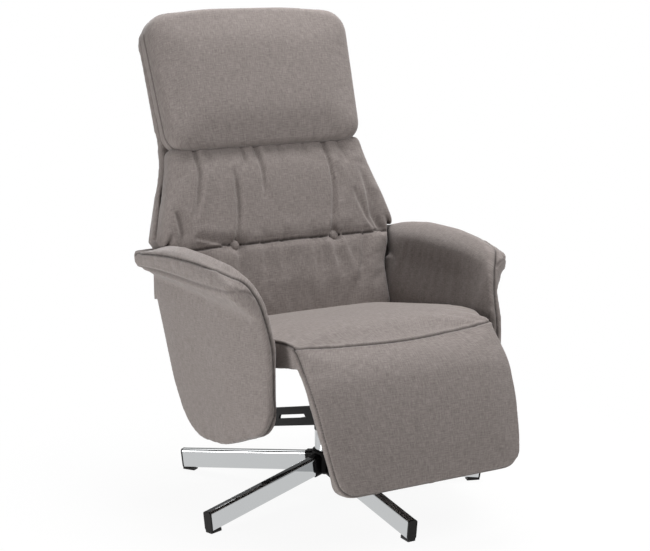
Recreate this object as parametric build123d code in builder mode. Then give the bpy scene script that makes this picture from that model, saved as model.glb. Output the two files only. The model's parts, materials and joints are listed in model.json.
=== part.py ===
from build123d import *
from math import atan2, cos, degrees, radians, sin, tan
import os

# Swivel recliner with a footrest that lifts as the back is pushed down.
# Origin: on the floor, under the swivel axis. +Z is up, the chair faces -Y, the sitter's left is +X.
os.makedirs("parts", exist_ok=True)

SIGNS = (1, -1)

# Clearances
slip = 0.1
running = 0.05
soft_gap = 0.4
side_gap = 0.5
cove_gap = 0.8
linkage_gap = 4

# Five-star base
leg_count = 5
first_leg_angle = -90
leg_tip_radius = 377
leg_slope = 6.9
leg_height = 46
leg_width = 22
leg_corner = 6
leg_wall = 1.5
tip_clearance = 3.4
hub_radius = 30
hub_height = 52
hub_floor = 9
hub_chamfer = 2
end_chamfer = 1.5
collar_root = 20
collar_reach = 44
collar_lip = 2.5
spigot_depth = 26
plug_radius = 13
plug_height = 8
cap_thickness = 4
cap_plug_depth = 18
glide_length = 26
glide_drop = 9
glide_inset = 2

# Column and swivel
column_radius = 24
column_wall = 3
column_top = 149
spindle_radius = 15
bush_height = 20
bush_flange = 4
bush_flange_radius = 25
lower_bush_lift = 8
screw_angle = 198
screw_drop = 9
screw_head_radius = 4.5
screw_shank_radius = 2.4
screw_head_depth = 1.4

# Steelwork under the seat
rail_tilt = 16
rail_rise = 174
rail_depth = 42.4
rail_front = 215
rail_rear = 118
rail_inner = 117
plate_gauge = 5
frame_gap = 3
slot_depth = 8
slot_front = 138
slot_rear = 7
slot_slant = 6
swivel_plate_gauge = 6
swivel_plate_half = 80
swivel_plate_corner = 6
swivel_slot_offset = 50
swivel_slot_length = 117
swivel_slot_width = 24
front_riser = (-205, -160)
rear_riser = (70, 112)
riser_tab = 30
tab_gauge = 4
lug_gauge = 6
eye_radius = 11
back_eye_radius = 13
lug_tab = 25
lug_neck = 0.9
front_lug_span = (-16, 70)
front_lug_depth = 4
front_lug_tab = (15, 65)
rear_lug_span = (330, 418)
rear_lug_depth = 6
rear_lug_tab = (335, 385)
pin_radius = 4
pin_head_radius = 6
pin_head = 3
rod_depth = 14
rod_eye_radius = 10
open_eye_radius = 6.6
back_crank = 60
crank_half_depth = 8
back_range = 40
foot_range = 60

# Seat
seat_half_width = 245
seat_ref_y = -255
seat_ref_z = 387
seat_tilt = 8
seat_board_drop = 12
board_gauge = 12
seat_board_front = -5
seat_board_rear = 396
seat_rail_inner = 212
seat_skin = 5
seat_rail_height = 28
seat_side_height = 53
seat_crown = 76
seat_rear = 392
seat_rear_height = 70
seat_nose = 36
seat_slot_height = 45
seat_cut = 100
seat_edge = 20
arm_bolt_y = (-130, 70)
arm_bolt_height = 5.5
arm_bolt_radius = 4
arm_bolt_head_radius = 6
arm_bolt_head = 5
arm_bolt_flat_count = 6
arm_bolt_bite = 28
spacer_radius = 11

# Arms
arm_inner = 268
arm_thickness = 44
arm_nose_inner = 18
arm_nose_outer = 9
arm_nose_reach = 296
arm_taper_start = -130
arm_taper_round = 300
arm_front = -281
arm_flare_start = 440
arm_split = 500
arm_stock = 400
arm_flare_lean = 7
panel_front = ((-255, 500), (-281, 425), (-281, 260))
panel_rear = ((-100, 186), (72, 163), (160, 275), (250, 456), (250, 500))
panel_notch_start = 180
panel_radii = (0, 150, 90, 250, 150, 200, 6, 0)
pad_reach = 350
pad_top = 583
pad_front_taper = ((292, -275), (306, -245), (344, -224))
pad_taper_end = -190
pad_front_radii = (12, 20, 25, 60)
pad_rear_corner = 40
pad_plan_margin = 4
pad_front_bulge = (-241, 535)
pad_front_top = (-214, 566)
pad_middle = 20
pad_rear_top = (255, 556)
pad_rear_bulge = (289, 541)
pad_rear_low = (279, 523)
pad_inner_bulge = (289, 547)
pad_inner_top = (316, 575)
pad_crest = 334
pad_outer_top = (347, 568)
pad_widest = 545
pad_outer_low = (342, 521)
pad_notch = 296
pad_notch_start = 130
pad_notch_full = 214

# Back: angle from upright, hinge axis and the plane of its front seams
back_lean = 20.4
back_hinge_y = 205
back_hinge_z = 372
hinge_to_plane = 15.4
seam_height = 50
back_board_rear = 8
back_board_low = 16
back_board_top = 706
board_low_inset = 16
board_top_inset = 10
board_wing_inset = 18
board_wing_rise = 8
board_wing_foot = 208
board_radii = (20, 0, 10, 200, 60)
lower_cushion_low = 11
seam_level = 173
lower_half_width = 256
lower_flare_level = 100
lower_flare_half_width = 276
wing_half_width = 318
wing_level = 214
wing_tip_radius = 26
wing_share = 0.4
wing_gusset = (288, 198)
waist_half_width = 256
waist_level = 400
waist_corner = 20
head_low = 404
head_top = 746
head_arch = 14
head_arch_start = 100
head_arch_round = 600
head_half_width = 270
cushion_front = 66
cushion_edge = 15
head_front = 86
head_edge = 28
head_corner = 60
head_low_corner = 48
button_spread = 133
button_radius = 13
button_height = 9
button_sink = 2
shell_thickness = 14
shell_half_width = 290
shell_rear_y = 312
shell_tip_z = 425
shell_wall = 12
shell_front_low = 105
shell_top = 730
shell_shoulder = 200
shell_head_inset = 4
shell_radii = (0, 0, 8, 300, 55)
shell_slot_margin = 6
shell_slot_depth = 40
back_arm_tab = 40
back_arm_reach = 230
back_arm_start = 18
back_arm_web = ((3, -28), (75, 3), (75, 8), (18, 8), (-3, -3))

# Footrest: angle from upright, hinge axis and pad
foot_lean = 26.7
foot_hinge_y = -296
foot_hinge_z = 424
nose_radius = 18
foot_length = 308
foot_top_half_width = 245
foot_low_half_width = 221
foot_corner = 42
foot_edge_depth = 8
foot_side_taper = 30
foot_rear = 22
foot_board_low = 280
foot_board_inset = 22
foot_edge = 9
foot_arm_reach = 210
foot_arm_tab = 30
foot_slot_reach = 82
foot_skin = 3.5
foot_rear_gap = 1
foot_arm_start = 18
foot_arm_tip = 8
foot_arm_knee = (60, 18)


def up_from(lean):
    """Direction up a surface that leans back by an angle from upright."""
    return Vector(0, sin(radians(lean)), cos(radians(lean)))


def front_of(lean):
    """Direction out of the front of such a surface."""
    return Vector(0, -cos(radians(lean)), sin(radians(lean)))


# Hinge axes and the surfaces that swing about them
back_hinge = Vector(0, back_hinge_y, back_hinge_z)
foot_hinge = Vector(0, foot_hinge_y, foot_hinge_z)
back_origin = back_hinge + front_of(back_lean) * hinge_to_plane
back_plane = Plane(origin=back_origin, x_dir=(1, 0, 0), z_dir=front_of(back_lean))
foot_plane = Plane(origin=foot_hinge, x_dir=(1, 0, 0), z_dir=front_of(foot_lean))


def across(point):
    """A point of the middle plane as sketch coordinates on a YZ plane."""
    return (point.Y, point.Z)


def on_back(level, depth):
    """Middle-plane point at a height along the back and a depth in front of its board plane."""
    return back_origin + up_from(back_lean) * level + front_of(back_lean) * depth


def on_foot(drop, depth):
    """Middle-plane point at a distance down the footrest and a depth in front of its hinge."""
    return foot_hinge - up_from(foot_lean) * drop + front_of(foot_lean) * depth


def on_seat(along, height):
    """Middle-plane point at a distance back along the seat and a height above its underside."""
    tilt = radians(seat_tilt)
    y = seat_ref_y + along * cos(tilt) + height * sin(tilt)
    return Vector(0, y, seat_ref_z - along * sin(tilt) + height * cos(tilt))


def on_rail(along, height):
    """Middle-plane point at a distance back along the inclined rails and a height above their lower edge."""
    tilt = radians(rail_tilt)
    y = along * cos(tilt) + height * sin(tilt)
    return Vector(0, y, rail_rise - along * sin(tilt) + height * cos(tilt))


def seat_under(y, height):
    """Point at a given y on the plane at a height above the seat's underside."""
    tilt = radians(seat_tilt)
    along = (y - seat_ref_y - height * sin(tilt)) / cos(tilt)
    return on_seat(along, height)


def finish(piece, name):
    """Label a finished piece and write it."""
    piece.part.label = name
    export_step(piece.part, f"parts/{name}.step")


def finish_pair(piece, name):
    """Write a left-hand piece and its mirror image."""
    finish(piece, f"left_{name}")
    with BuildPart() as mirrored:
        mirror(piece.part, about=Plane.YZ)
    finish(mirrored, f"right_{name}")


def strip(start, end, half_width):
    """Corners of a straight strip between two middle-plane points."""
    run = (end - start).normalized()
    side = Vector(0, -run.Z, run.Y) * half_width
    return [across(start + side), across(end + side), across(end - side), across(start - side)]


# Push-rod linkage: both cranks stand square to the rod at half travel
hinge_line = foot_hinge - back_hinge
foot_crank = back_crank * sin(radians(back_range / 2)) / sin(radians(foot_range / 2))
crank_drop = back_crank * cos(radians(back_range / 2)) - foot_crank * cos(radians(foot_range / 2))
rod_tilt = degrees(atan2(hinge_line.Z, -hinge_line.Y)) + degrees(crank_drop / hinge_line.length)
rod_forward = Vector(0, -cos(radians(rod_tilt)), sin(radians(rod_tilt)))
rod_down = Vector(0, -sin(radians(rod_tilt)), -cos(radians(rod_tilt)))


def crank_end(hinge, radius, half_range):
    """Crank pin at rest: half of the range behind square."""
    turn = radians(half_range)
    return hinge + (rod_down * cos(turn) - rod_forward * sin(turn)) * radius


back_pin = crank_end(back_hinge, back_crank, back_range / 2)
foot_pin = crank_end(foot_hinge, foot_crank, foot_range / 2)

# Side-by-side places of the linkage plates, outwards from the side frames
frame_outer = rail_inner + plate_gauge
rod_inner = frame_outer + frame_gap
crank_inner = rod_inner + plate_gauge + 2 * side_gap
lug_inner = crank_inner + plate_gauge + 2 * side_gap
lug_outer = lug_inner + lug_gauge

# Five-star base
slope = radians(leg_slope)
hub_underside = tip_clearance + leg_tip_radius * tan(slope)
leg_axis_height = hub_underside + leg_height / 2 / cos(slope)
tube_end = leg_tip_radius / cos(slope) - cap_thickness
bore_width = leg_width - 2 * leg_wall
bore_height = leg_height - 2 * leg_wall
bore_corner = leg_corner - leg_wall


def leg_angle(number):
    return first_leg_angle + number * 360 / leg_count


def leg_plane(angle, reach):
    """Cross-section of a sloping leg at a distance along it."""
    turn = radians(angle)
    outward = Vector(cos(turn) * cos(slope), sin(turn) * cos(slope), -sin(slope))
    origin = Vector(0, 0, leg_axis_height) + outward * reach
    return Plane(origin=origin, x_dir=(-sin(turn), cos(turn), 0), z_dir=outward)


def leg_tube(angle):
    with BuildPart() as leg:
        with BuildSketch(leg_plane(angle, collar_reach)):
            RectangleRounded(leg_width, leg_height, leg_corner)
            RectangleRounded(bore_width, bore_height, bore_corner, mode=Mode.SUBTRACT)
        extrude(amount=tube_end - collar_reach)
    return leg


def end_cap(angle):
    """Plug, face plate and a glide that reaches the floor."""
    glide_middle = -(leg_height + glide_drop) / 2
    with BuildPart() as cap:
        with BuildSketch(leg_plane(angle, tube_end)):
            RectangleRounded(leg_width, leg_height, leg_corner)
            with Locations((0, glide_middle + leg_corner / 2)):
                Rectangle(leg_width - 2 * glide_inset, glide_drop + leg_corner)
        extrude(amount=cap_thickness)
        with BuildSketch(leg_plane(angle, tube_end)):
            RectangleRounded(bore_width - 2 * slip, bore_height - 2 * slip, bore_corner - slip)
        extrude(amount=-cap_plug_depth)
        with BuildSketch(leg_plane(angle, tube_end)):
            with Locations((0, glide_middle)):
                Rectangle(leg_width - 2 * glide_inset, glide_drop)
        extrude(amount=-glide_length)
        split(bisect_by=Plane.XY, keep=Keep.TOP)
    return cap


for number in range(leg_count):
    finish(leg_tube(leg_angle(number)), f"leg_tube_{number + 1}")
    finish(end_cap(leg_angle(number)), f"leg_end_cap_{number + 1}")

column_foot = hub_underside + hub_floor

with BuildPart() as hub:
    with BuildSketch(Plane.XY.offset(hub_underside)):
        Circle(hub_radius)
    extrude(amount=hub_height)
    chamfer(hub.edges().filter_by(GeomType.CIRCLE), length=hub_chamfer)
    for number in range(leg_count):
        with BuildSketch(leg_plane(leg_angle(number), collar_root)):
            RectangleRounded(leg_width + 2 * collar_lip, leg_height + 2 * collar_lip, leg_corner + collar_lip)
        extrude(amount=collar_reach - collar_root)
        with BuildSketch(leg_plane(leg_angle(number), collar_reach)):
            RectangleRounded(bore_width - 2 * slip, bore_height - 2 * slip, bore_corner - slip)
        extrude(amount=spigot_depth)
    with BuildSketch(Plane.XY.offset(column_foot)):
        Circle(column_radius + slip)
    extrude(amount=hub_height, mode=Mode.SUBTRACT)
finish(hub, "hub")

with BuildPart() as hub_plug:
    with BuildSketch(Plane.XY.offset(hub_underside - plug_height)):
        Circle(plug_radius)
    extrude(amount=plug_height)
    chamfer(hub_plug.faces().sort_by(Axis.Z)[0].edges(), length=end_chamfer)
finish(hub_plug, "hub_plug")

# Column with its set screw, bushes and the turning spindle
column_bore = column_radius - column_wall
screw_turn = radians(screw_angle)
screw_out = Vector(cos(screw_turn), sin(screw_turn), 0)


def screw_plane(reach):
    origin = Vector(0, 0, column_top - screw_drop) + screw_out * reach
    return Plane(origin=origin, x_dir=(0, 0, 1), z_dir=screw_out)


with BuildPart() as column:
    with BuildSketch(Plane.XY.offset(column_foot)):
        Circle(column_radius)
        Circle(column_bore, mode=Mode.SUBTRACT)
    extrude(amount=column_top - column_foot)
    with BuildSketch(screw_plane(column_bore)):
        Circle(screw_shank_radius + slip)
    extrude(amount=2 * column_wall, mode=Mode.SUBTRACT)
    with BuildSketch(screw_plane(column_radius - screw_head_depth)):
        Circle(screw_head_radius + slip)
    extrude(amount=column_wall, mode=Mode.SUBTRACT)
finish(column, "column")

with BuildPart() as column_set_screw:
    with BuildSketch(screw_plane(column_bore + slip)):
        Circle(screw_shank_radius)
    extrude(amount=column_wall - screw_head_depth - slip)
    with BuildSketch(screw_plane(column_radius - screw_head_depth)):
        Circle(screw_head_radius)
    extrude(amount=2 * screw_head_depth)
finish(column_set_screw, "column_set_screw")

with BuildPart() as upper_bush:
    with BuildSketch(Plane.XY.offset(column_top - bush_height)):
        Circle(column_bore - slip)
    extrude(amount=bush_height)
    with BuildSketch(Plane.XY.offset(column_top)):
        Circle(bush_flange_radius)
    extrude(amount=bush_flange)
    with BuildSketch(Plane.XY.offset(column_top - bush_height)):
        Circle(spindle_radius + running)
    extrude(amount=bush_height + bush_flange, mode=Mode.SUBTRACT)
finish(upper_bush, "upper_bush")

with BuildPart() as lower_bush:
    with BuildSketch(Plane.XY.offset(column_foot)):
        Circle(column_bore - slip)
        Circle(spindle_radius + running, mode=Mode.SUBTRACT)
    extrude(amount=bush_height)
finish(lower_bush, "lower_bush")

rail_plane = Plane(origin=(0, 0, rail_rise), x_dir=(1, 0, 0), z_dir=up_from(rail_tilt))
swivel_seat = column_top + bush_flange + slip

with BuildPart() as spindle:
    with BuildSketch(Plane.XY.offset(column_foot + lower_bush_lift)):
        Circle(spindle_radius)
    extrude(amount=rail_rise)
    split(bisect_by=rail_plane, keep=Keep.BOTTOM)
    chamfer(spindle.faces().sort_by(Axis.Z)[0].edges(), length=end_chamfer)
finish(spindle, "spindle")

with BuildPart() as swivel_collar:
    with BuildSketch(Plane.XY.offset(swivel_seat)):
        Circle(bush_flange_radius)
        Circle(spindle_radius + slip, mode=Mode.SUBTRACT)
    extrude(amount=rail_rise)
    split(bisect_by=rail_plane, keep=Keep.BOTTOM)
finish(swivel_collar, "swivel_collar")

with BuildPart() as swivel_plate:
    with BuildSketch(rail_plane):
        RectangleRounded(2 * rail_inner, 2 * swivel_plate_half, swivel_plate_corner)
    extrude(amount=swivel_plate_gauge)
    with BuildSketch(rail_plane):
        with Locations((0, swivel_slot_offset), (0, -swivel_slot_offset)):
            SlotOverall(swivel_slot_length, swivel_slot_width)
    extrude(amount=swivel_plate_gauge, mode=Mode.SUBTRACT)
finish(swivel_plate, "swivel_plate")


def side_plane(reach, sign=1):
    """Plane of a plate that stands on one side, at a distance from the middle."""
    return Plane.YZ.offset(sign * reach)


# Side frame: a slotted rail with a riser at each end and a tab under the seat board
slot_low = (rail_depth - slot_depth) / 2
slot_high = slot_low + slot_depth

with BuildPart() as side_frame:
    with BuildSketch(side_plane(rail_inner)):
        rail = [(-rail_front, 0), (rail_rear, 0), (rail_rear, rail_depth), (-rail_front, rail_depth)]
        Polygon(*[across(on_rail(*corner)) for corner in rail], align=None)
        for front, rear in (front_riser, rear_riser):
            foot = [across(on_rail(y / cos(radians(rail_tilt)), rail_depth / 2)) for y in (front, rear)]
            head = [across(seat_under(y, seat_board_drop)) for y in (rear, front)]
            Polygon(*foot, *head, align=None)
        slot = [(-slot_front, slot_low), (-slot_rear, slot_low)]
        slot += [(-slot_rear - slot_slant, slot_high), (-slot_front + slot_slant, slot_high)]
        Polygon(*[across(on_rail(*corner)) for corner in slot], align=None, mode=Mode.SUBTRACT)
    extrude(amount=plate_gauge)
    with BuildSketch(side_plane(frame_outer)):
        for front, rear in (front_riser, rear_riser):
            top = [across(seat_under(y, seat_board_drop)) for y in (front, rear)]
            low = [across(seat_under(y, seat_board_drop - tab_gauge)) for y in (rear, front)]
            Polygon(*top, *low, align=None)
    extrude(amount=-riser_tab)
finish_pair(side_frame, "side_frame")

# Seat board and rails, bolted to the arms through spacers
seat_skin_inner = seat_half_width - seat_skin


def seat_slab(start, end, low, high):
    """Corners of a slab along the seat, on a YZ plane."""
    corners = [(start, low), (end, low), (end, high), (start, high)]
    return [across(on_seat(*corner)) for corner in corners]


def bolt_centres():
    return [across(seat_under(y, arm_bolt_height)) for y in arm_bolt_y]


with BuildPart() as seat_board:
    with BuildSketch(Plane.YZ):
        low, high = seat_board_drop, seat_board_drop + board_gauge
        Polygon(*seat_slab(seat_board_front, seat_board_rear, low, high), align=None)
    extrude(amount=seat_rail_inner, both=True)
finish(seat_board, "seat_board")

with BuildPart() as seat_rail:
    with BuildSketch(side_plane(seat_rail_inner)):
        Polygon(*seat_slab(seat_board_front, seat_board_rear, 0, seat_rail_height), align=None)
        with Locations(*bolt_centres()):
            Circle(arm_bolt_radius + slip, mode=Mode.SUBTRACT)
    extrude(amount=seat_skin_inner - seat_rail_inner)
finish_pair(seat_rail, "seat_rail")

with BuildPart() as arm_spacers:
    with BuildSketch(side_plane(seat_skin_inner)):
        with Locations(*bolt_centres()):
            Circle(spacer_radius)
            Circle(arm_bolt_radius + slip, mode=Mode.SUBTRACT)
    extrude(amount=arm_inner - seat_skin_inner)
    mirror(about=Plane.YZ)
finish(arm_spacers, "arm_spacers")

with BuildPart() as arm_bolts:
    with BuildSketch(side_plane(seat_rail_inner)):
        with Locations(*bolt_centres()):
            Circle(arm_bolt_radius)
    extrude(amount=arm_inner + arm_bolt_bite - seat_rail_inner)
    with BuildSketch(side_plane(seat_rail_inner)):
        with Locations(*bolt_centres()):
            RegularPolygon(arm_bolt_head_radius, arm_bolt_flat_count)
    extrude(amount=-arm_bolt_head)
    mirror(about=Plane.YZ)
finish(arm_bolts, "arm_bolts")

# Seat cushion: crowned top, coved round the footrest's nose, open below for board, rails and linkage
linkage_inner = rod_inner - pin_head - linkage_gap
linkage_outer = lug_outer + pin_head + linkage_gap

with BuildPart() as seat_cushion:
    front_wall = foot_rear + foot_rear_gap
    with BuildSketch(Plane.YZ):
        with BuildLine():
            front_low = on_foot(0, -front_wall)
            lip = seat_under(on_foot(foot_rear, -front_wall).Y, 0)
            rear_low = on_seat(seat_rear, 0)
            rear_high = on_seat(seat_rear, seat_rear_height)
            front_high = on_seat(-seat_nose, seat_side_height)
            crown = on_seat(seat_rear / 2, seat_crown)
            Polyline(across(front_high), across(front_low), across(lip), across(rear_low), across(rear_high))
            ThreePointArc(across(rear_high), across(crown), across(front_high))
        make_face()
    extrude(amount=seat_half_width, both=True)
    top_sides = seat_cushion.edges().filter_by(GeomType.CIRCLE).filter_by_position(
        Axis.X, -2 * seat_half_width, 2 * seat_half_width).sort_by(Axis.X)
    fillet([top_sides[0], top_sides[-1]], radius=seat_edge)
    with BuildSketch(Plane.YZ):
        board_top = seat_board_drop + board_gauge
        Polygon(*seat_slab(seat_board_front, 2 * seat_rear, -seat_cut, board_top), align=None)
    extrude(amount=seat_rail_inner, both=True, mode=Mode.SUBTRACT)
    for sign in SIGNS:
        with BuildSketch(side_plane(seat_rail_inner, sign)):
            Polygon(*seat_slab(seat_board_front, 2 * seat_rear, -seat_cut, seat_rail_height), align=None)
        extrude(amount=sign * (seat_skin_inner - seat_rail_inner), mode=Mode.SUBTRACT)
        with BuildSketch(side_plane(seat_skin_inner, sign)):
            with Locations(*bolt_centres()):
                Circle(spacer_radius + soft_gap)
        extrude(amount=sign * 2 * seat_skin, mode=Mode.SUBTRACT)
        with BuildSketch(side_plane(linkage_inner, sign)):
            Polygon(*seat_slab(-seat_cut, seat_board_front, -seat_cut, seat_slot_height), align=None)
        extrude(amount=sign * (linkage_outer - linkage_inner), mode=Mode.SUBTRACT)
    with BuildSketch(Plane.YZ):
        with Locations(across(foot_hinge)):
            Circle(nose_radius + cove_gap)
    extrude(amount=2 * seat_half_width, both=True, mode=Mode.SUBTRACT)
finish(seat_cushion, "seat_cushion")

# Hinge lugs under the seat board, and their pins
board_under = seat_board_drop


def hinge_lug(root, hinge, radius, tab_span):
    """Plate from the seat board's underside to a hinge axis, with a tab on the board."""
    with BuildPart() as lug:
        with BuildSketch(side_plane(lug_inner)):
            Polygon(*root, align=None)
            with Locations(across(hinge)):
                Circle(radius)
                Circle(pin_radius, mode=Mode.SUBTRACT)
        extrude(amount=lug_gauge)
        with BuildSketch(side_plane(lug_outer)):
            Polygon(*seat_slab(*tab_span, board_under - tab_gauge, board_under), align=None)
        extrude(amount=lug_tab)
    return lug


def eye_corners(hinge, away, radius):
    """The two corners where a lug's neck meets its eye."""
    run = (hinge - away).normalized()
    across_run = Vector(0, -run.Z, run.Y) * radius * lug_neck
    return across(hinge - across_run), across(hinge + across_run)


front_tip, front_heel = front_lug_span
front_eye = eye_corners(foot_hinge, on_seat(front_tip, 0), eye_radius)
front_root = [across(on_seat(front_heel, board_under)), across(on_seat(front_heel, -front_lug_depth))]
front_root += [across(on_seat(front_tip, -front_lug_depth)), front_eye[1], front_eye[0]]
front_root += [across(on_seat(seat_board_front, board_under))]
finish_pair(hinge_lug(front_root, foot_hinge, eye_radius, front_lug_tab), "footrest_lug")

rear_heel, rear_tip = rear_lug_span
rear_eye = eye_corners(back_hinge, on_seat(rear_tip, 0), back_eye_radius)
rear_root = [across(on_seat(rear_heel, board_under)), across(on_seat(rear_heel, -rear_lug_depth))]
rear_root += [across(on_seat(rear_tip, -rear_lug_depth)), rear_eye[0], rear_eye[1]]
rear_root += [across(on_seat(seat_board_rear, board_under))]
finish_pair(hinge_lug(rear_root, back_hinge, back_eye_radius, rear_lug_tab), "back_lug")


def pin_pair(centre, inner, outer, headed_outside):
    """A pin on each side, with a head at its inner end and, on a pivot, one at its outer end."""
    with BuildPart() as pins:
        with BuildSketch(side_plane(inner)):
            with Locations(across(centre)):
                Circle(pin_radius)
        extrude(amount=outer - inner)
        with BuildSketch(side_plane(inner)):
            with Locations(across(centre)):
                Circle(pin_head_radius)
        extrude(amount=-pin_head)
        if headed_outside:
            with BuildSketch(side_plane(outer)):
                with Locations(across(centre)):
                    Circle(pin_head_radius)
            extrude(amount=pin_head)
        mirror(about=Plane.YZ)
    return pins


finish(pin_pair(foot_hinge, crank_inner - side_gap, lug_outer, True), "footrest_pivot_pins")
finish(pin_pair(back_hinge, crank_inner - side_gap, lug_outer, True), "back_pivot_pins")
finish(pin_pair(foot_pin, rod_inner - side_gap, crank_inner + plate_gauge, False), "footrest_rod_pins")
finish(pin_pair(back_pin, rod_inner - side_gap, crank_inner + plate_gauge, False), "back_rod_pins")

# Push rods: a running eye on the back's pin and an open eye on the footrest's
with BuildPart() as push_rod:
    with BuildSketch(side_plane(rod_inner)):
        Polygon(*strip(back_pin, foot_pin, rod_depth / 2), align=None)
        with Locations(across(back_pin), across(foot_pin)):
            Circle(rod_eye_radius)
        with Locations(across(back_pin)):
            Circle(pin_radius + running, mode=Mode.SUBTRACT)
        with Locations(across(foot_pin)):
            Circle(open_eye_radius, mode=Mode.SUBTRACT)
    extrude(amount=plate_gauge)
finish_pair(push_rod, "push_rod")

# Arms: an upholstered panel with a flared pad on top
arm_outer = arm_inner + arm_thickness
pad_foot = arm_inner + arm_flare_lean

with BuildPart() as arm_panel:
    with BuildSketch(Plane.YZ):
        with BuildLine():
            FilletPolyline(*panel_front, *panel_rear, radius=panel_radii, close=True)
        make_face()
    extrude(amount=arm_stock)
    with BuildSketch(Plane.XZ):
        section = [(arm_inner, 0), (arm_outer, 0), (arm_outer, arm_split)]
        section += [(pad_foot, arm_split), (arm_inner, arm_flare_start)]
        Polygon(*section, align=None)
    extrude(amount=leg_tip_radius, both=True, mode=Mode.INTERSECT)
    with BuildSketch(Plane.XY):
        with BuildLine():
            nose = [(arm_inner, arm_front), (arm_nose_reach, arm_front), (arm_outer, arm_taper_start)]
            nose += [(arm_outer, leg_tip_radius), (arm_inner, leg_tip_radius)]
            rounds = (arm_nose_inner, arm_nose_outer, arm_taper_round, 0, 0)
            FilletPolyline(*nose, radius=rounds, close=True)
        make_face()
    extrude(amount=arm_split, mode=Mode.INTERSECT)
    with BuildSketch(Plane.YZ):
        Polygon((panel_notch_start, arm_split), *panel_rear[-2:], align=None)
    extrude(amount=pad_notch, mode=Mode.SUBTRACT)
    with BuildSketch(side_plane(arm_inner)):
        with Locations(*bolt_centres()):
            Circle(arm_bolt_radius + slip)
    extrude(amount=arm_bolt_bite + slip, mode=Mode.SUBTRACT)
finish_pair(arm_panel, "arm_panel")

with BuildPart() as arm_pad:
    with BuildSketch(Plane.YZ):
        with BuildLine():
            front, rear = panel_front[0], panel_rear[-1]
            ThreePointArc(front, pad_front_bulge, pad_front_top)
            ThreePointArc(pad_front_top, (pad_middle, pad_top), pad_rear_top)
            ThreePointArc(pad_rear_top, pad_rear_bulge, pad_rear_low)
            Polyline(pad_rear_low, rear, front)
        make_face()
    extrude(amount=arm_stock)
    with BuildSketch(Plane.XZ):
        with BuildLine():
            ThreePointArc((pad_foot, arm_split), pad_inner_bulge, pad_inner_top)
            ThreePointArc(pad_inner_top, (pad_crest, pad_top), pad_outer_top)
            ThreePointArc(pad_outer_top, (pad_reach, pad_widest), pad_outer_low)
            Polyline(pad_outer_low, (arm_outer, arm_split), (pad_foot, arm_split))
        make_face()
    extrude(amount=leg_tip_radius, both=True, mode=Mode.INTERSECT)
    with BuildSketch(Plane.XY.offset(arm_split)):
        with BuildLine():
            wide = pad_reach + pad_plan_margin
            pad_rear = pad_rear_bulge[0] + pad_plan_margin
            plan = [(0, pad_front_taper[0][1]), *pad_front_taper, (wide, pad_taper_end)]
            plan += [(wide, pad_rear), (0, pad_rear)]
            rounds = (0, *pad_front_radii, pad_rear_corner, 0)
            FilletPolyline(*plan, radius=rounds, close=True)
        make_face()
    extrude(amount=pad_top, mode=Mode.INTERSECT)
    with BuildSketch(Plane.XY.offset(arm_split)):
        notch = [(0, pad_notch_start), (pad_foot, pad_notch_start), (pad_notch, pad_notch_full)]
        Polygon(*notch, (pad_notch, leg_tip_radius), (0, leg_tip_radius), align=None)
    extrude(amount=pad_top, mode=Mode.SUBTRACT)
finish_pair(arm_pad, "arm_pad")

# Back: board, rear shell, cushions, buttons and steel arms
board_front = back_board_rear + board_gauge
back_front_axis = Axis(back_origin, front_of(back_lean))


def button_spots(radius):
    """Two discs on the seam, where the buttons pull the cushions in."""
    with BuildSketch(back_plane.offset(seam_height - button_sink)) as spots:
        with Locations((button_spread, seam_level), (-button_spread, seam_level)):
            Circle(radius)
    return spots.sketch


with BuildPart() as back_board:
    with BuildSketch(back_plane.offset(back_board_rear)):
        with BuildLine():
            lower, upper = lower_half_width - board_low_inset, waist_half_width - board_top_inset
            wing_tip = (wing_half_width - board_wing_inset, wing_level + board_wing_rise)
            outline = [(0, back_board_low), (lower, back_board_low), (lower, board_wing_foot), wing_tip]
            outline += [(upper, waist_level), (upper, back_board_top), (0, back_board_top)]
            FilletPolyline(*outline, radius=board_radii)
            mirror(about=Plane.YZ)
        make_face()
    extrude(amount=board_gauge)
finish(back_board, "back_board")

with BuildPart() as lower_back_cushion:
    with BuildSketch(back_plane.offset(board_front)):
        with BuildLine():
            high = seam_level - soft_gap
            outline = [(0, lower_cushion_low), (lower_half_width, lower_cushion_low)]
            outline += [(lower_half_width, lower_flare_level), (lower_flare_half_width, high), (0, high)]
            Polyline(*outline)
            mirror(about=Plane.YZ)
        make_face()
    extrude(amount=cushion_front - board_front)
    fillet(lower_back_cushion.faces().sort_by(back_front_axis)[-1].edges(), radius=cushion_edge)
    extrude(button_spots(button_radius + soft_gap), amount=cushion_front, mode=Mode.SUBTRACT)
finish(lower_back_cushion, "lower_back_cushion")

with BuildPart() as upper_back_cushion:
    with BuildSketch(back_plane.offset(board_front)) as upper_corners:
        with BuildLine():
            low, high = seam_level + soft_gap, head_low - soft_gap
            flare_width = waist_half_width + (wing_half_width - waist_half_width) * wing_share
            flare = (flare_width, (wing_level + waist_level) / 2)
            Polyline((0, low), (lower_flare_half_width, low), wing_gusset, (wing_half_width, wing_level))
            ThreePointArc((wing_half_width, wing_level), flare, (waist_half_width, high))
            Polyline((waist_half_width, high), (0, high))
            mirror(about=Plane.YZ)
        make_face()
        wing_tips = upper_corners.vertices().sort_by(Axis.X)
        fillet([wing_tips[0], wing_tips[-1]], radius=wing_tip_radius)
        top_corners = upper_corners.vertices().group_by(Axis.Y)[-1].sort_by(Axis.X)
        fillet([top_corners[0], top_corners[-1]], radius=waist_corner)
    extrude(amount=cushion_front - board_front)
    fillet(upper_back_cushion.faces().sort_by(back_front_axis)[-1].edges(), radius=cushion_edge)
    extrude(button_spots(button_radius + soft_gap), amount=cushion_front, mode=Mode.SUBTRACT)
finish(upper_back_cushion, "upper_back_cushion")

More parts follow.
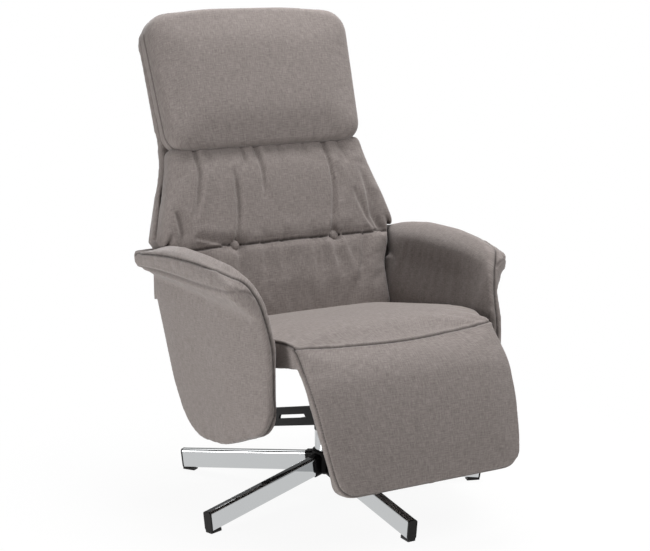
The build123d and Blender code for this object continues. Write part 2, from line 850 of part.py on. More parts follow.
with BuildPart() as headrest_pad:
    with BuildSketch(back_plane.offset(board_front)):
        with BuildLine():
            outline = [(0, head_low), (waist_half_width, head_low)]
            outline += [(head_half_width, head_top - head_arch), (head_arch_start, head_top), (0, head_top)]
            FilletPolyline(*outline, radius=(head_low_corner, head_corner, head_arch_round))
            mirror(about=Plane.YZ)
        make_face()
    extrude(amount=head_front - board_front)
    fillet(headrest_pad.faces().sort_by(back_front_axis)[-1].edges(), radius=head_edge)
finish(headrest_pad, "headrest_pad")

with BuildPart() as back_buttons:
    extrude(button_spots(button_radius), amount=button_height)
    fillet(back_buttons.faces().sort_by(back_front_axis)[-2:].edges(), radius=button_height / 2)
finish(back_buttons, "back_buttons")


def back_level(y, depth):
    """Height along the back at which a line of given depth reaches a given y."""
    return (y - back_origin.Y - depth * front_of(back_lean).Y) / up_from(back_lean).Y


with BuildPart() as back_shell:
    shell_rear = back_board_rear - shell_thickness
    front_low = on_back(shell_front_low, back_board_rear)
    tip = Vector(0, shell_rear_y, shell_tip_z)
    kink = on_back(back_level(shell_rear_y, shell_rear), shell_rear)
    top_rear, top_front = on_back(shell_top, shell_rear), on_back(shell_top, back_board_rear)
    with BuildSketch(Plane.YZ):
        Polygon(*[across(p) for p in (front_low, tip, kink, top_rear, top_front)], align=None)
    extrude(amount=pad_reach, both=True)
    with BuildSketch(back_plane.offset(-leg_tip_radius)):
        with BuildLine():
            edge, neck = shell_half_width, waist_half_width
            low_line = [(0, -leg_tip_radius), (edge, -leg_tip_radius), (edge, shell_shoulder)]
            top_line = [(wing_half_width, wing_level), (neck, waist_level)]
            top_line += [(head_half_width - shell_head_inset, shell_top), (0, shell_top)]
            FilletPolyline(*low_line, *top_line, radius=shell_radii)
            mirror(about=Plane.YZ)
        make_face()
    extrude(amount=2 * leg_tip_radius, mode=Mode.INTERSECT)
    hollow_low = on_back(shell_front_low + shell_wall, back_board_rear)
    run = tip - front_low
    hollow_y = shell_rear_y - shell_wall
    hollow_tip = hollow_low + run * ((hollow_y - hollow_low.Y) / run.Y)
    hollow_top = on_back(back_level(hollow_y, back_board_rear), back_board_rear)
    with BuildSketch(Plane.YZ):
        Polygon(*[across(p) for p in (hollow_low, hollow_tip, hollow_top)], align=None)
    extrude(amount=shell_half_width - shell_wall, both=True, mode=Mode.SUBTRACT)
    for sign in SIGNS:
        with BuildSketch(side_plane(crank_inner - shell_slot_margin, sign)):
            slot_ends = (0, 2 * shell_front_low)
            corners = [(level, -shell_slot_depth) for level in slot_ends]
            corners += [(level, shell_slot_depth) for level in reversed(slot_ends)]
            Polygon(*[across(on_back(*corner)) for corner in corners], align=None)
        extrude(amount=sign * (back_arm_tab + 2 * shell_slot_margin), mode=Mode.SUBTRACT)
finish(back_shell, "back_shell")


# Back arms: a crank below the hinge, a tab on the board above
with BuildPart() as back_arm:
    with BuildSketch(side_plane(crank_inner)):
        Polygon(*[across(on_back(*corner)) for corner in back_arm_web], align=None)
        Polygon(*strip(back_hinge, back_pin, crank_half_depth), align=None)
        with Locations(across(back_hinge)):
            Circle(back_eye_radius)
        with Locations(across(back_pin)):
            Circle(rod_eye_radius)
            Circle(pin_radius, mode=Mode.SUBTRACT)
        with Locations(across(back_hinge)):
            Circle(pin_radius + running, mode=Mode.SUBTRACT)
    extrude(amount=plate_gauge)
    with BuildSketch(side_plane(crank_inner)):
        tab_depth = back_board_rear - plate_gauge
        tab = [(back_arm_start, tab_depth), (back_arm_reach, tab_depth)]
        tab += [(back_arm_reach, back_board_rear), (back_arm_start, back_board_rear)]
        Polygon(*[across(on_back(*corner)) for corner in tab], align=None)
    extrude(amount=back_arm_tab)
finish_pair(back_arm, "back_arm")

# Footrest: board, pad with a round nose about the hinge, and steel arms
foot_front_axis = Axis(foot_hinge, front_of(foot_lean))


def foot_outline(depth, inset, top, low, corner):
    """Tapered outline of the flap at a depth in front of its hinge, in from its sides by an inset."""
    def half_width(drop):
        return foot_top_half_width + (foot_low_half_width - foot_top_half_width) * drop / foot_length - inset
    with BuildSketch(foot_plane.offset(depth)) as flap:
        with BuildLine():
            outline = [(0, -top), (half_width(top), -top), (half_width(low), -low), (0, -low)]
            FilletPolyline(*outline, radius=(0, corner))
            mirror(about=Plane.YZ)
        make_face()
    return flap.sketch


with BuildPart() as footrest_pad:
    widest = foot_outline(foot_edge_depth, 0, 0, foot_length, foot_corner)
    extrude(widest, amount=nose_radius - foot_edge_depth)
    front_edges = footrest_pad.faces().sort_by(foot_front_axis)[-1].edges()
    fillet(front_edges.sort_by(Axis(foot_hinge, up_from(foot_lean)))[:-1], radius=foot_edge)
    extrude(widest, amount=-foot_edge_depth - foot_rear, taper=foot_side_taper)
    with BuildSketch(Plane.YZ):
        with Locations(across(foot_hinge)):
            Circle(nose_radius)
    extrude(amount=foot_top_half_width, both=True)
    recess = foot_outline(-foot_rear, foot_board_inset, foot_slot_reach, foot_board_low, foot_corner / 2)
    extrude(recess, amount=board_gauge, mode=Mode.SUBTRACT)
    for sign in SIGNS:
        with BuildSketch(side_plane(linkage_inner, sign)):
            with Locations(across(foot_hinge)):
                Circle(nose_radius - foot_skin)
            slot = [(-2 * nose_radius, 0), (foot_slot_reach, 0), (foot_slot_reach, -2 * foot_rear)]
            slot += [(-2 * nose_radius, -2 * foot_rear)]
            Polygon(*[across(on_foot(*corner)) for corner in slot], align=None)
        extrude(amount=sign * (linkage_outer - linkage_inner), mode=Mode.SUBTRACT)
finish(footrest_pad, "footrest_pad")

with BuildPart() as footrest_board:
    extrude(recess, amount=board_gauge)
finish(footrest_board, "footrest_board")


# Footrest arms: a short crank behind the hinge, a tab on the board
with BuildPart() as footrest_arm:
    with BuildSketch(side_plane(crank_inner)):
        knee_drop, knee_depth = foot_arm_knee
        beam = [(foot_arm_start, -foot_rear), (foot_arm_reach, -foot_rear)]
        beam += [(foot_arm_reach, -foot_rear - foot_arm_tip), (knee_drop, -foot_rear - knee_depth)]
        Polygon(*[across(on_foot(*corner)) for corner in beam], align=None)
        Polygon(*strip(foot_hinge, foot_pin, crank_half_depth), align=None)
        with Locations(across(foot_hinge)):
            Circle(eye_radius)
        with Locations(across(foot_pin)):
            Circle(rod_eye_radius)
            Circle(pin_radius, mode=Mode.SUBTRACT)
        with Locations(across(foot_hinge)):
            Circle(pin_radius + running, mode=Mode.SUBTRACT)
    extrude(amount=plate_gauge)
    with BuildSketch(side_plane(crank_inner)):
        tab = [(foot_slot_reach, -foot_rear), (foot_arm_reach, -foot_rear)]
        tab += [(foot_arm_reach, -foot_rear - tab_gauge), (foot_slot_reach, -foot_rear - tab_gauge)]
        Polygon(*[across(on_foot(*corner)) for corner in tab], align=None)
    extrude(amount=foot_arm_tab)
finish_pair(footrest_arm, "footrest_arm")
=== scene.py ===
"""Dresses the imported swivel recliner: upholstery, metalwork, pale studio and camera."""

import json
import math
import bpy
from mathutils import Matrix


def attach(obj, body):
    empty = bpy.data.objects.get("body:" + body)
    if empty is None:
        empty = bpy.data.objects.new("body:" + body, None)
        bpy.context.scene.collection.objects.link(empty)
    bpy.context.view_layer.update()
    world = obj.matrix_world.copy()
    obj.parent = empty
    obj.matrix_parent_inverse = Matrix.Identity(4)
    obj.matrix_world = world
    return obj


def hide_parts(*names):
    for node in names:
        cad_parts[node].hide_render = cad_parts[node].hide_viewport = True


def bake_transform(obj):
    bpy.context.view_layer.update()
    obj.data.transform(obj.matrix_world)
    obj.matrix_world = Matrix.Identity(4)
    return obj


bl_info = {
    "name": "Swivel recliner",
    "version": (1, 0, 0),
    "blender": (4, 5, 0),
    "location": "View3D > Sidebar > Recliner",
    "description": "Dresses the packed recliner with upholstery, finishes and a pale studio",
    "category": "Add Mesh",
}

import bmesh
import bpy
import numpy as np
from bpy.props import FloatProperty, FloatVectorProperty, PointerProperty
from mathutils import Matrix, Vector
from mathutils.bvhtree import BVHTree
from mathutils.kdtree import KDTree

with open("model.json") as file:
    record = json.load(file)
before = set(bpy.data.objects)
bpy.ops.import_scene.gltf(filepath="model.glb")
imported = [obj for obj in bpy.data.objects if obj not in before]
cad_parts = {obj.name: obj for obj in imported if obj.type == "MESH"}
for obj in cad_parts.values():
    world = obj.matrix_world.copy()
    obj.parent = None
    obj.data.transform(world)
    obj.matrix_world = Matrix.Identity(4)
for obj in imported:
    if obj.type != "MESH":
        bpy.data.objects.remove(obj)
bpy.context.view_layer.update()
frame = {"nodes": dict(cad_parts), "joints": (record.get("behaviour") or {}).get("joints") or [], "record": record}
MM = 0.001


def linear(hex_colour):
    """sRGB hex value as linear red, green, blue and alpha."""
    channels = [int(hex_colour[i:i + 2], 16) / 255 for i in (1, 3, 5)]
    return (*[c / 12.92 if c <= 0.04045 else ((c + 0.055) / 1.055) ** 2.4 for c in channels], 1.0)


class UpholsterySettings(bpy.types.PropertyGroup):
    """Sizes and colours of the fabric."""

    thread_dark: FloatVectorProperty(
        name="Dark thread", description="Colour of the darker yarn", subtype="COLOR", size=4,
        min=0, max=1, default=linear("#675E5B"))
    thread_light: FloatVectorProperty(
        name="Light thread", description="Colour of the lighter yarn", subtype="COLOR", size=4,
        min=0, max=1, default=linear("#9B938F"))
    thread_spacing: FloatProperty(
        name="Thread spacing", description="Distance between drawn threads", unit="LENGTH",
        default=1.9 * MM)


class FinishSettings(bpy.types.PropertyGroup):
    """Colours of the metal, plastic and wood."""

    chrome: FloatVectorProperty(
        name="Chrome", description="Colour of the plated tubes", subtype="COLOR", size=4,
        min=0, max=1, default=linear("#C2C4C5"))
    plastic: FloatVectorProperty(
        name="Plastic", description="Colour of the end caps and bushes", subtype="COLOR", size=4,
        min=0, max=1, default=linear("#141211"))
    powder_coat: FloatVectorProperty(
        name="Powder coat", description="Colour of the painted steel", subtype="COLOR", size=4,
        min=0, max=1, default=linear("#0C0B0B"))
    zinc: FloatVectorProperty(
        name="Zinc", description="Colour of the plated pins and bolts", subtype="COLOR", size=4,
        min=0, max=1, default=linear("#B4B6B8"))
    birch: FloatVectorProperty(
        name="Birch", description="Colour of the plywood boards", subtype="COLOR", size=4,
        min=0, max=1, default=linear("#C9A777"))


class StageSettings(bpy.types.PropertyGroup):
    """Camera and floor."""

    camera_place: FloatVectorProperty(
        name="Camera", description="Camera position", subtype="TRANSLATION", unit="LENGTH",
        default=(-1.70541, -2.99243, 1.24506))
    camera_turn: FloatProperty(
        name="Turn", description="Camera heading from +Y", subtype="ANGLE",
        default=math.radians(-29.68))
    camera_dip: FloatProperty(
        name="Dip", description="How far the camera looks down", subtype="ANGLE",
        default=math.radians(12.02))
    lens: FloatProperty(
        name="Lens", description="Focal length in millimetres", unit="CAMERA", default=85.85)
    floor_colour: FloatVectorProperty(
        name="Floor", description="Colour of the floor", subtype="COLOR", size=4,
        min=0, max=1, default=linear("#F4F4F3"))
    floor_size: FloatProperty(
        name="Floor size", description="Side of the floor", unit="LENGTH", default=16.0)


def add_node(material, kind, inputs=None, **settings):
    """Add a node with its settings; an input is a value, or a (node, output) pair to link."""
    tree = material.node_tree
    node = tree.nodes.new(kind)
    for name, value in settings.items():
        setattr(node, name, value)
    for socket, value in (inputs or {}).items():
        if isinstance(value, tuple) and isinstance(value[0], bpy.types.Node):
            tree.links.new(value[0].outputs[value[1]], node.inputs[socket])
        else:
            node.inputs[socket].default_value = value
    return node


def darker(colour, share):
    """Linear colour with only a share of its light."""
    return (*[share * channel for channel in colour[:3]], 1.0)


def blank_material(name):
    """A node material with nothing in it but its output."""
    material = bpy.data.materials.get(name) or bpy.data.materials.new(name)
    material.use_nodes = True
    material.node_tree.nodes.clear()
    output = add_node(material, "ShaderNodeOutputMaterial")
    return material, output


def join_surface(material, shader, output):
    """Link the finished shader to the output."""
    material.node_tree.links.new(shader.outputs[0], output.inputs["Surface"])


def linen_fabric(settings):
    """Woven linen-look polyester: slubby yarns of two greys, matt, with a faint sheen."""
    name = "Linen-look woven polyester"
    if name in bpy.data.materials:
        return bpy.data.materials[name]
    material, output = blank_material(name)
    place = add_node(material, "ShaderNodeTexCoord")
    laid = add_node(material, "ShaderNodeAttribute", attribute_name="weave")
    mottle_size = 45 * MM
    slub_length = 9 * settings.thread_spacing
    # The real yarns are about 0.8 mm apart; they are drawn coarser so that they show.
    fine = 1 / settings.thread_spacing
    long = 1 / slub_length
    threads = []
    for scale in ((fine, long, 1.0), (long, fine, 1.0)):
        stretch = add_node(material, "ShaderNodeMapping", {"Vector": (laid, "Vector"), "Scale": scale})
        threads.append(add_node(
            material, "ShaderNodeTexNoise",
            {"Vector": (stretch, "Vector"), "Scale": 1.0, "Detail": 2.0, "Roughness": 0.6}))
    weave = add_node(
        material, "ShaderNodeMath", {0: (threads[0], "Fac"), 1: (threads[1], "Fac")}, operation="ADD")
    mottle = add_node(
        material, "ShaderNodeTexNoise",
        {"Vector": (place, "Object"), "Scale": 1 / mottle_size, "Detail": 3.0})
    mottle_share = 0.12
    slub = add_node(
        material, "ShaderNodeMath", {0: (mottle, "Fac"), 1: mottle_share, 2: (weave, 0)},
        operation="MULTIPLY_ADD")
    # Both threads and the mottle add up to between 0.56 and 1.56.
    tone = add_node(
        material, "ShaderNodeMapRange",
        {"Value": (slub, 0), "From Min": 0.56, "From Max": 1.56, "To Min": 0.0, "To Max": 1.0})
    colour = add_node(
        material, "ShaderNodeMix",
        {0: (tone, "Result"), 6: settings.thread_dark, 7: settings.thread_light}, data_type="RGBA")
    # Painted shade: the fabric is darkened where a seam's groove lies, standing in for the shade that falls into
    # it.
    seam = add_node(material, "ShaderNodeAttribute", attribute_name="seam")
    shade = darker(settings.thread_dark, 0.3)
    sewn = add_node(
        material, "ShaderNodeMix", {0: (seam, "Fac"), 6: (colour, 2), 7: shade}, data_type="RGBA")
    bump = add_node(
        material, "ShaderNodeBump", {"Height": (weave, 0), "Strength": 0.25, "Distance": 0.5 * MM})
    cloth = add_node(
        material, "ShaderNodeBsdfPrincipled",
        {"Base Color": (sewn, 2), "Roughness": 0.92, "Specular IOR Level": 0.2, "Sheen Weight": 0.25,
         "Sheen Roughness": 0.45, "Normal": (bump, "Normal")})
    join_surface(material, cloth, output)
    return material


def polished_chrome(settings):
    """Chrome plate on polished steel tube: a bright mirror with faint polishing haze."""
    material, output = blank_material("Polished chrome plate")
    place = add_node(material, "ShaderNodeTexCoord")
    haze_size = 35 * MM
    haze = add_node(
        material, "ShaderNodeTexNoise",
        {"Vector": (place, "Object"), "Scale": 1 / haze_size, "Detail": 4.0})
    rough = add_node(
        material, "ShaderNodeMapRange",
        {"Value": (haze, "Fac"), "From Min": 0.3, "From Max": 0.7, "To Min": 0.03, "To Max": 0.07})
    plate = add_node(
        material, "ShaderNodeBsdfPrincipled",
        {"Base Color": settings.chrome, "Metallic": 1.0, "Roughness": (rough, "Result")})
    join_surface(material, plate, output)
    return material


def moulded_plastic(settings):
    """Injection-moulded black polypropylene: satin, with a fine moulded grain."""
    material, output = blank_material("Moulded polypropylene")
    place = add_node(material, "ShaderNodeTexCoord")
    grain_size = 1.2 * MM
    grain = add_node(
        material, "ShaderNodeTexNoise",
        {"Vector": (place, "Object"), "Scale": 1 / grain_size, "Detail": 2.0})
    bump = add_node(
        material, "ShaderNodeBump", {"Height": (grain, "Fac"), "Strength": 0.2, "Distance": 0.15 * MM})
    body = add_node(
        material, "ShaderNodeBsdfPrincipled",
        {"Base Color": settings.plastic, "Roughness": 0.42, "IOR": 1.49, "Specular IOR Level": 0.2,
         "Normal": (bump, "Normal")})
    join_surface(material, body, output)
    return material


def powder_coated_steel(settings):
    """Black powder coat on pressed steel: low gloss with the skin's orange-peel ripple."""
    material, output = blank_material("Powder-coated steel")
    place = add_node(material, "ShaderNodeTexCoord")
    ripple_size = 2.5 * MM
    peel = add_node(
        material, "ShaderNodeTexNoise",
        {"Vector": (place, "Object"), "Scale": 1 / ripple_size, "Detail": 2.0})
    bump = add_node(
        material, "ShaderNodeBump", {"Height": (peel, "Fac"), "Strength": 0.25, "Distance": 0.2 * MM})
    wear = add_node(
        material, "ShaderNodeMapRange",
        {"Value": (peel, "Fac"), "From Min": 0.3, "From Max": 0.7, "To Min": 0.38, "To Max": 0.52})
    paint = add_node(
        material, "ShaderNodeBsdfPrincipled",
        {"Base Color": settings.powder_coat, "Roughness": (wear, "Result"), "IOR": 1.5,
         "Specular IOR Level": 0.1, "Normal": (bump, "Normal")})
    join_surface(material, paint, output)
    return material


def zinc_plate(settings):
    """Bright zinc on turned pins and bolts: a grey metal with fine lathe marks."""
    material, output = blank_material("Bright zinc plate")
    place = add_node(material, "ShaderNodeTexCoord")
    mark_spacing = 0.6 * MM
    mark_runs_per_metre = 60.0
    stretch = add_node(
        material, "ShaderNodeMapping",
        {"Vector": (place, "Object"),
         "Scale": (1 / mark_spacing, mark_runs_per_metre, mark_runs_per_metre)})
    marks = add_node(
        material, "ShaderNodeTexNoise", {"Vector": (stretch, "Vector"), "Scale": 1.0, "Detail": 1.0})
    rough = add_node(
        material, "ShaderNodeMapRange",
        {"Value": (marks, "Fac"), "From Min": 0.3, "From Max": 0.7, "To Min": 0.25, "To Max": 0.42})
    metal = add_node(
        material, "ShaderNodeBsdfPrincipled",
        {"Base Color": settings.zinc, "Metallic": 1.0, "Roughness": (rough, "Result")})
    join_surface(material, metal, output)
    return material


def birch_plywood(settings):
    """Raw birch plywood: pale, with long darker grain."""
    material, output = blank_material("Raw birch plywood")
    place = add_node(material, "ShaderNodeTexCoord")
    grain_length = 120 * MM
    grain_width = 6 * MM
    stretch = add_node(
        material, "ShaderNodeMapping",
        {"Vector": (place, "Object"), "Scale": (1 / grain_length, 1 / grain_width, 1 / grain_width)})
    grain = add_node(
        material, "ShaderNodeTexNoise",
        {"Vector": (stretch, "Vector"), "Scale": 1.0, "Detail": 5.0, "Roughness": 0.6})
    shade = darker(settings.birch, 0.6)
    colour = add_node(
        material, "ShaderNodeMix", {0: (grain, "Fac"), 6: shade, 7: settings.birch}, data_type="RGBA")
    wood = add_node(
        material, "ShaderNodeBsdfPrincipled", {"Base Color": (colour, 2), "Roughness": 0.68})
    join_surface(material, wood, output)
    return material


def studio_floor(settings):
    """Seamless pale paper: white to the camera, with the chair's soft shadow kept on it."""
    material, output = blank_material("Seamless pale paper")
    path = add_node(material, "ShaderNodeLightPath")
    seen = add_node(
        material, "ShaderNodeMath", {0: (path, "Is Camera Ray"), 1: (path, "Is Glossy Ray")},
        operation="MAXIMUM")
    shown = add_node(
        material, "ShaderNodeMath", {0: (seen, 0), 1: (path, "Is Transmission Ray")},
        operation="MAXIMUM")
    place = add_node(material, "ShaderNodeTexCoord")
    reach = add_node(material, "ShaderNodeVectorMath", {0: (place, "Object")}, operation="LENGTH")
    # The paper's own shade, with the shadow on it, shows only near the chair.
    fade = add_node(
        material, "ShaderNodeMapRange",
        {"Value": (reach, "Value"), "From Min": 0.3, "From Max": 1.0, "To Min": 0.93, "To Max": 1.0})
    share = add_node(
        material, "ShaderNodeMath", {0: (shown, 0), 1: (fade, "Result")}, operation="MULTIPLY")
    paper = add_node(material, "ShaderNodeBsdfDiffuse", {"Color": settings.floor_colour})
    glow = add_node(material, "ShaderNodeEmission", {"Color": (1, 1, 1, 1), "Strength": 1.0})
    mix = add_node(material, "ShaderNodeMixShader", {0: (share, 0), 1: (paper, 0), 2: (glow, 0)})
    join_surface(material, mix, output)
    return material


def studio_world():
    """Even soft light, white where the camera and mirrors see it."""
    world = bpy.data.worlds.new("Studio")
    world.use_nodes = True
    world.node_tree.nodes.clear()
    output = add_node(world, "ShaderNodeOutputWorld")
    path = add_node(world, "ShaderNodeLightPath")
    place = add_node(world, "ShaderNodeTexCoord")
    split = add_node(world, "ShaderNodeSeparateXYZ", {0: (place, "Generated")})
    # The white sweep ends a little above the floor's far edge; over it the room is dim.
    sweep = add_node(
        world, "ShaderNodeMapRange",
        {"Value": (split, "Z"), "From Min": 0.1, "From Max": 0.25, "To Min": 1.0, "To Max": 0.08})
    mirrored = add_node(
        world, "ShaderNodeMath", {0: (path, "Is Glossy Ray"), 1: (sweep, "Result")},
        operation="MULTIPLY")
    seen = add_node(
        world, "ShaderNodeMath", {0: (path, "Is Camera Ray"), 1: (mirrored, 0)}, operation="MAXIMUM")
    shown = add_node(
        world, "ShaderNodeMath", {0: (seen, 0), 1: (path, "Is Transmission Ray")}, operation="MAXIMUM")
    level = add_node(
        world, "ShaderNodeMapRange", {"Value": (shown, 0), "To Min": 0.05, "To Max": 1.0})
    sky = add_node(world, "ShaderNodeBackground", {"Color": (1, 1, 1, 1), "Strength": (level, "Result")})
    join_surface(world, sky, output)
    return world


# Which finish each material slot of the record gets; the fabric's slot is covered by the upholstery.
FINISHES = {
    "polished_chrome": polished_chrome,
    "black_plastic": moulded_plastic,
    "black_steel": powder_coated_steel,
    "zinc_steel": zinc_plate,
    "plywood": birch_plywood,
}


def piece_from(shape, name):
    """New object at the origin from a finished bmesh."""
    mesh = bpy.data.meshes.new(name)
    shape.to_mesh(mesh)
    shape.free()
    piece = bpy.data.objects.new(name, mesh)
    bpy.context.scene.collection.objects.link(piece)
    return piece


# Square lamps: where each one hangs and the side of its face, in metres, and its power in watts.
LAMPS = {
    "overhead_lamp": ((0.7, 0.45, 3.2), 1.5, 97),
    "side_lamp": ((-2.7, -0.3, 0.4), 1.0, 42),
    "front_lamp": ((0.7, -1.9, 2.6), 1.5, 41),
    "rear_lamp": ((0.2, 2.4, 2.6), 1.5, 26),
}
LAMP_AIM = (0, 0, 0.5)
SENSOR_WIDTH = 36


def hang_lamp(name, place, size, power):
    """Soft square lamp that points at the chair's middle."""
    lamp = bpy.data.objects.new(name, bpy.data.lights.new(name, "AREA"))
    lamp.data.size = size
    lamp.data.energy = power
    lamp.location = place
    lamp.rotation_euler = (Vector(LAMP_AIM) - Vector(place)).to_track_quat("-Z", "Y").to_euler()
    bpy.context.scene.collection.objects.link(lamp)


class RECLINER_OT_stage(bpy.types.Operator):
    """Lay the pale floor, hang the lamps and set the camera"""

    bl_idname = "recliner.stage"
    bl_label = "Stage"

    def execute(self, context):
        settings = context.scene.recliner_stage
        shape = bmesh.new()
        bmesh.ops.create_grid(shape, x_segments=1, y_segments=1, size=settings.floor_size / 2)
        floor = piece_from(shape, "studio_floor")
        floor.data.materials.append(studio_floor(settings))
        context.scene.world = studio_world()
        for name, (place, size, power) in LAMPS.items():
            hang_lamp(name, place, size, power)
        camera = bpy.data.objects.new("camera", bpy.data.cameras.new("camera"))
        camera.data.lens = settings.lens
        camera.data.sensor_width = SENSOR_WIDTH
        camera.location = settings.camera_place
        camera.rotation_euler = (math.pi / 2 - settings.camera_dip, 0, settings.camera_turn)
        context.scene.collection.objects.link(camera)
        context.scene.camera = camera
        context.scene.view_settings.view_transform = "Standard"
        return {"FINISHED"}


class RECLINER_OT_finishes(bpy.types.Operator):
    """Give every rigid piece its chrome, plastic, paint, zinc or plywood"""

    bl_idname = "recliner.finishes"
    bl_label = "Finishes"

    def execute(self, context):
        settings = context.scene.recliner_finish
        made = {slot: make(settings) for slot, make in FINISHES.items()}
        for row in frame["record"]["subparts"]:
            finish = made.get(row["material_slot"])
            if finish:
                node = frame["nodes"][row["node"]]
                node.data.materials.clear()
                node.data.materials.append(finish)
        return {"FINISHED"}


class Face:
    """A leaning surface: across it, up it and out of its front, in metres."""

    def __init__(self, origin, lean):
        turn = math.radians(lean)
        up = (0, math.sin(turn), math.cos(turn))
        out = (0, -math.cos(turn), math.sin(turn))
        self.origin = np.array(origin)
        self.axes = np.array(((1, 0, 0), up, out))

    def local(self, points):
        return (points - self.origin) @ self.axes.T

    def world(self, points):
        return points @ self.axes + self.origin

    def turned_at(self, place):
        """Matrix that turns a shape to lie on this surface and sets it at a place."""
        return Matrix.Translation(place) @ Matrix(self.axes.tolist()).transposed().to_4x4()


def joint_place(name):
    """Where a joint's axis runs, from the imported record."""
    return next(joint["pos_m"] for joint in frame["joints"] if joint["name"] == name)


# The back leans from its hinge, the footrest hangs from its own, and the seat slopes down to the rear.
# Leans are in degrees from upright, places in millimetres.
BACK_LEAN = 20.4
BACK_FROM_HINGE = (0, -14.43, 5.37)
FOOT_LEAN = 26.7
SEAT_LEAN = 98
SEAT_FRONT = (0, -255, 387)
BACK = Face(np.array(joint_place("back_recline")) + np.array(BACK_FROM_HINGE) * MM, BACK_LEAN)
FOOT = Face(joint_place("footrest_lift"), FOOT_LEAN)
SEAT = Face(np.array(SEAT_FRONT) * MM, SEAT_LEAN)


def ease(values, low, high):
    """Smooth step from 0 at low to 1 at high."""
    t = np.clip((values - low) / (high - low), 0, 1)
    return t * t * (3 - 2 * t)


def read_points(mesh):
    points = np.empty(len(mesh.vertices) * 3, np.float32)
    mesh.vertices.foreach_get("co", points)
    return points.reshape(-1, 3).astype(float)


def write_points(mesh, points):
    mesh.vertices.foreach_set("co", points.astype(np.float32).ravel())
    mesh.update()


def read_normals(mesh):
    normals = np.empty(len(mesh.vertices) * 3, np.float32)
    mesh.vertex_normals.foreach_get("vector", normals)
    return normals.reshape(-1, 3).astype(float)


def mesh_parts(mesh):
    """Vertices and faces of a mesh as plain lists."""
    return [vertex.co for vertex in mesh.vertices], [face.vertices for face in mesh.polygons]


def solid_copy(name, *nodes):
    """Copy of CAD solids, with their triangles joined, as the start of a soft piece."""
    shape = bmesh.new()
    for node in nodes:
        shape.from_mesh(frame["nodes"][node].data)
    bmesh.ops.remove_doubles(shape, verts=shape.verts, dist=0.01 * MM)
    return piece_from(shape, name)


def mirrored_copy(piece, name):
    """Copy of a piece on the chair's other side."""
    shape = bmesh.new()
    shape.from_mesh(piece.data)
    bmesh.ops.scale(shape, vec=(-1, 1, 1), verts=shape.verts)
    bmesh.ops.reverse_faces(shape, faces=shape.faces)
    return piece_from(shape, name)


def bake_modifiers(piece):
    """Make the modifiers' result the piece's own mesh."""
    graph = bpy.context.evaluated_depsgraph_get()
    mesh = bpy.data.meshes.new_from_object(piece.evaluated_get(graph))
    old = piece.data
    piece.modifiers.clear()
    piece.data = mesh
    bpy.data.meshes.remove(old)
    mesh.name = piece.name


def even_faces(piece, voxel, soften):
    """Remesh a piece to even small faces, and soften its corners."""
    grid = piece.modifiers.new("Even faces", "REMESH")
    grid.mode = "VOXEL"
    grid.voxel_size = voxel
    smooth = piece.modifiers.new("Soft corners", "SMOOTH")
    smooth.iterations = soften
    bake_modifiers(piece)


def subdivide(piece):
    finer = piece.modifiers.new("Finer", "SUBSURF")
    finer.levels = finer.render_levels = 1
    bake_modifiers(piece)


def smooth_points(piece, chosen, passes):
    """Smooth some of a cover's points, and leave the others where they are."""
    shape = bmesh.new()
    shape.from_mesh(piece.data)
    shape.verts.ensure_lookup_table()
    loose = [shape.verts[index] for index in np.flatnonzero(chosen)]
    for _ in range(passes):
        bmesh.ops.smooth_vert(
            shape, verts=loose, factor=0.5, use_axis_x=True, use_axis_y=True, use_axis_z=True)
    shape.to_mesh(piece.data)
    shape.free()


def facing(piece, direction, least=0.8):
    """Which points lie on a broad face that looks one way."""
    return read_normals(piece.data) @ np.array(direction) > least


SWELL_STEPS = 15
SWELL_PRESSURE = 4.0
SWELL_SMOOTHING = 4


def swell(piece, held, cap, slack):
    """Blow the cover up as cloth over foam; held points stay and others move no further than a cap."""
    start = read_points(piece.data)
    group = piece.vertex_groups.new(name="held")
    group.add(np.flatnonzero(held).tolist(), 1.0, "REPLACE")
    cloth = piece.modifiers.new("Cover", "CLOTH")
    cloth.settings.quality = 3
    cloth.settings.mass = 0.3
    cloth.settings.bending_stiffness = 8.0
    cloth.settings.shrink_min = -slack
    cloth.settings.use_pressure = True
    cloth.settings.uniform_pressure_force = SWELL_PRESSURE
    cloth.settings.effector_weights.gravity = 0
    cloth.settings.vertex_group_mass = "held"
    cloth.collision_settings.use_collision = False
    for step in range(1, SWELL_STEPS + 1):
        bpy.context.scene.frame_set(step)
    graph = bpy.context.evaluated_depsgraph_get()
    shift = read_points(piece.evaluated_get(graph).data) - start
    length = np.linalg.norm(shift, axis=1, keepdims=True) + 1e-9
    piece.modifiers.clear()
    piece.vertex_groups.clear()
    write_points(piece.data, start + shift / length * cap * np.tanh(length / cap))
    bpy.context.scene.frame_set(1)
    smooth = piece.modifiers.new("Tight fabric", "SMOOTH")
    smooth.iterations = SWELL_SMOOTHING
    bake_modifiers(piece)


def dense(path, spacing=2 * MM):
    """Points close together along a line through given points."""
    path = np.array(path, float)
    runs = [np.linspace(a, b, max(2, int(np.linalg.norm(b - a) / spacing)), endpoint=False)
            for a, b in zip(path, path[1:])]
    return np.vstack([*runs, path[-1:]])


def rounded(path, passes=3):
    """Line through given points with its corners cut smooth."""
    path = np.array(path, float)
    for _ in range(passes):
        near = path[:-1] * 0.75 + path[1:] * 0.25
        far = path[:-1] * 0.25 + path[1:] * 0.75
        path = np.vstack([path[:1], np.stack([near, far], 1).reshape(-1, path.shape[1]), path[-1:]])
    return path


def path_gap(points, path):
    """Distance from each point to a line of points, and which of them is nearest."""
    tree = KDTree(len(path))
    for index, place in enumerate(path):
        tree.insert((*place, 0, 0)[:3], index)
    tree.balance()
    found = [tree.find((*point, 0, 0)[:3]) for point in points]
    return np.array([hit[2] for hit in found]), np.array([hit[1] for hit in found])


# A fold drops steeply on one side; on its gentle side the cloth rolls up beside it.
FOLD_STEEP = 0.7
FOLD_GENTLE = 2.0
FOLD_ROLL = 0.25


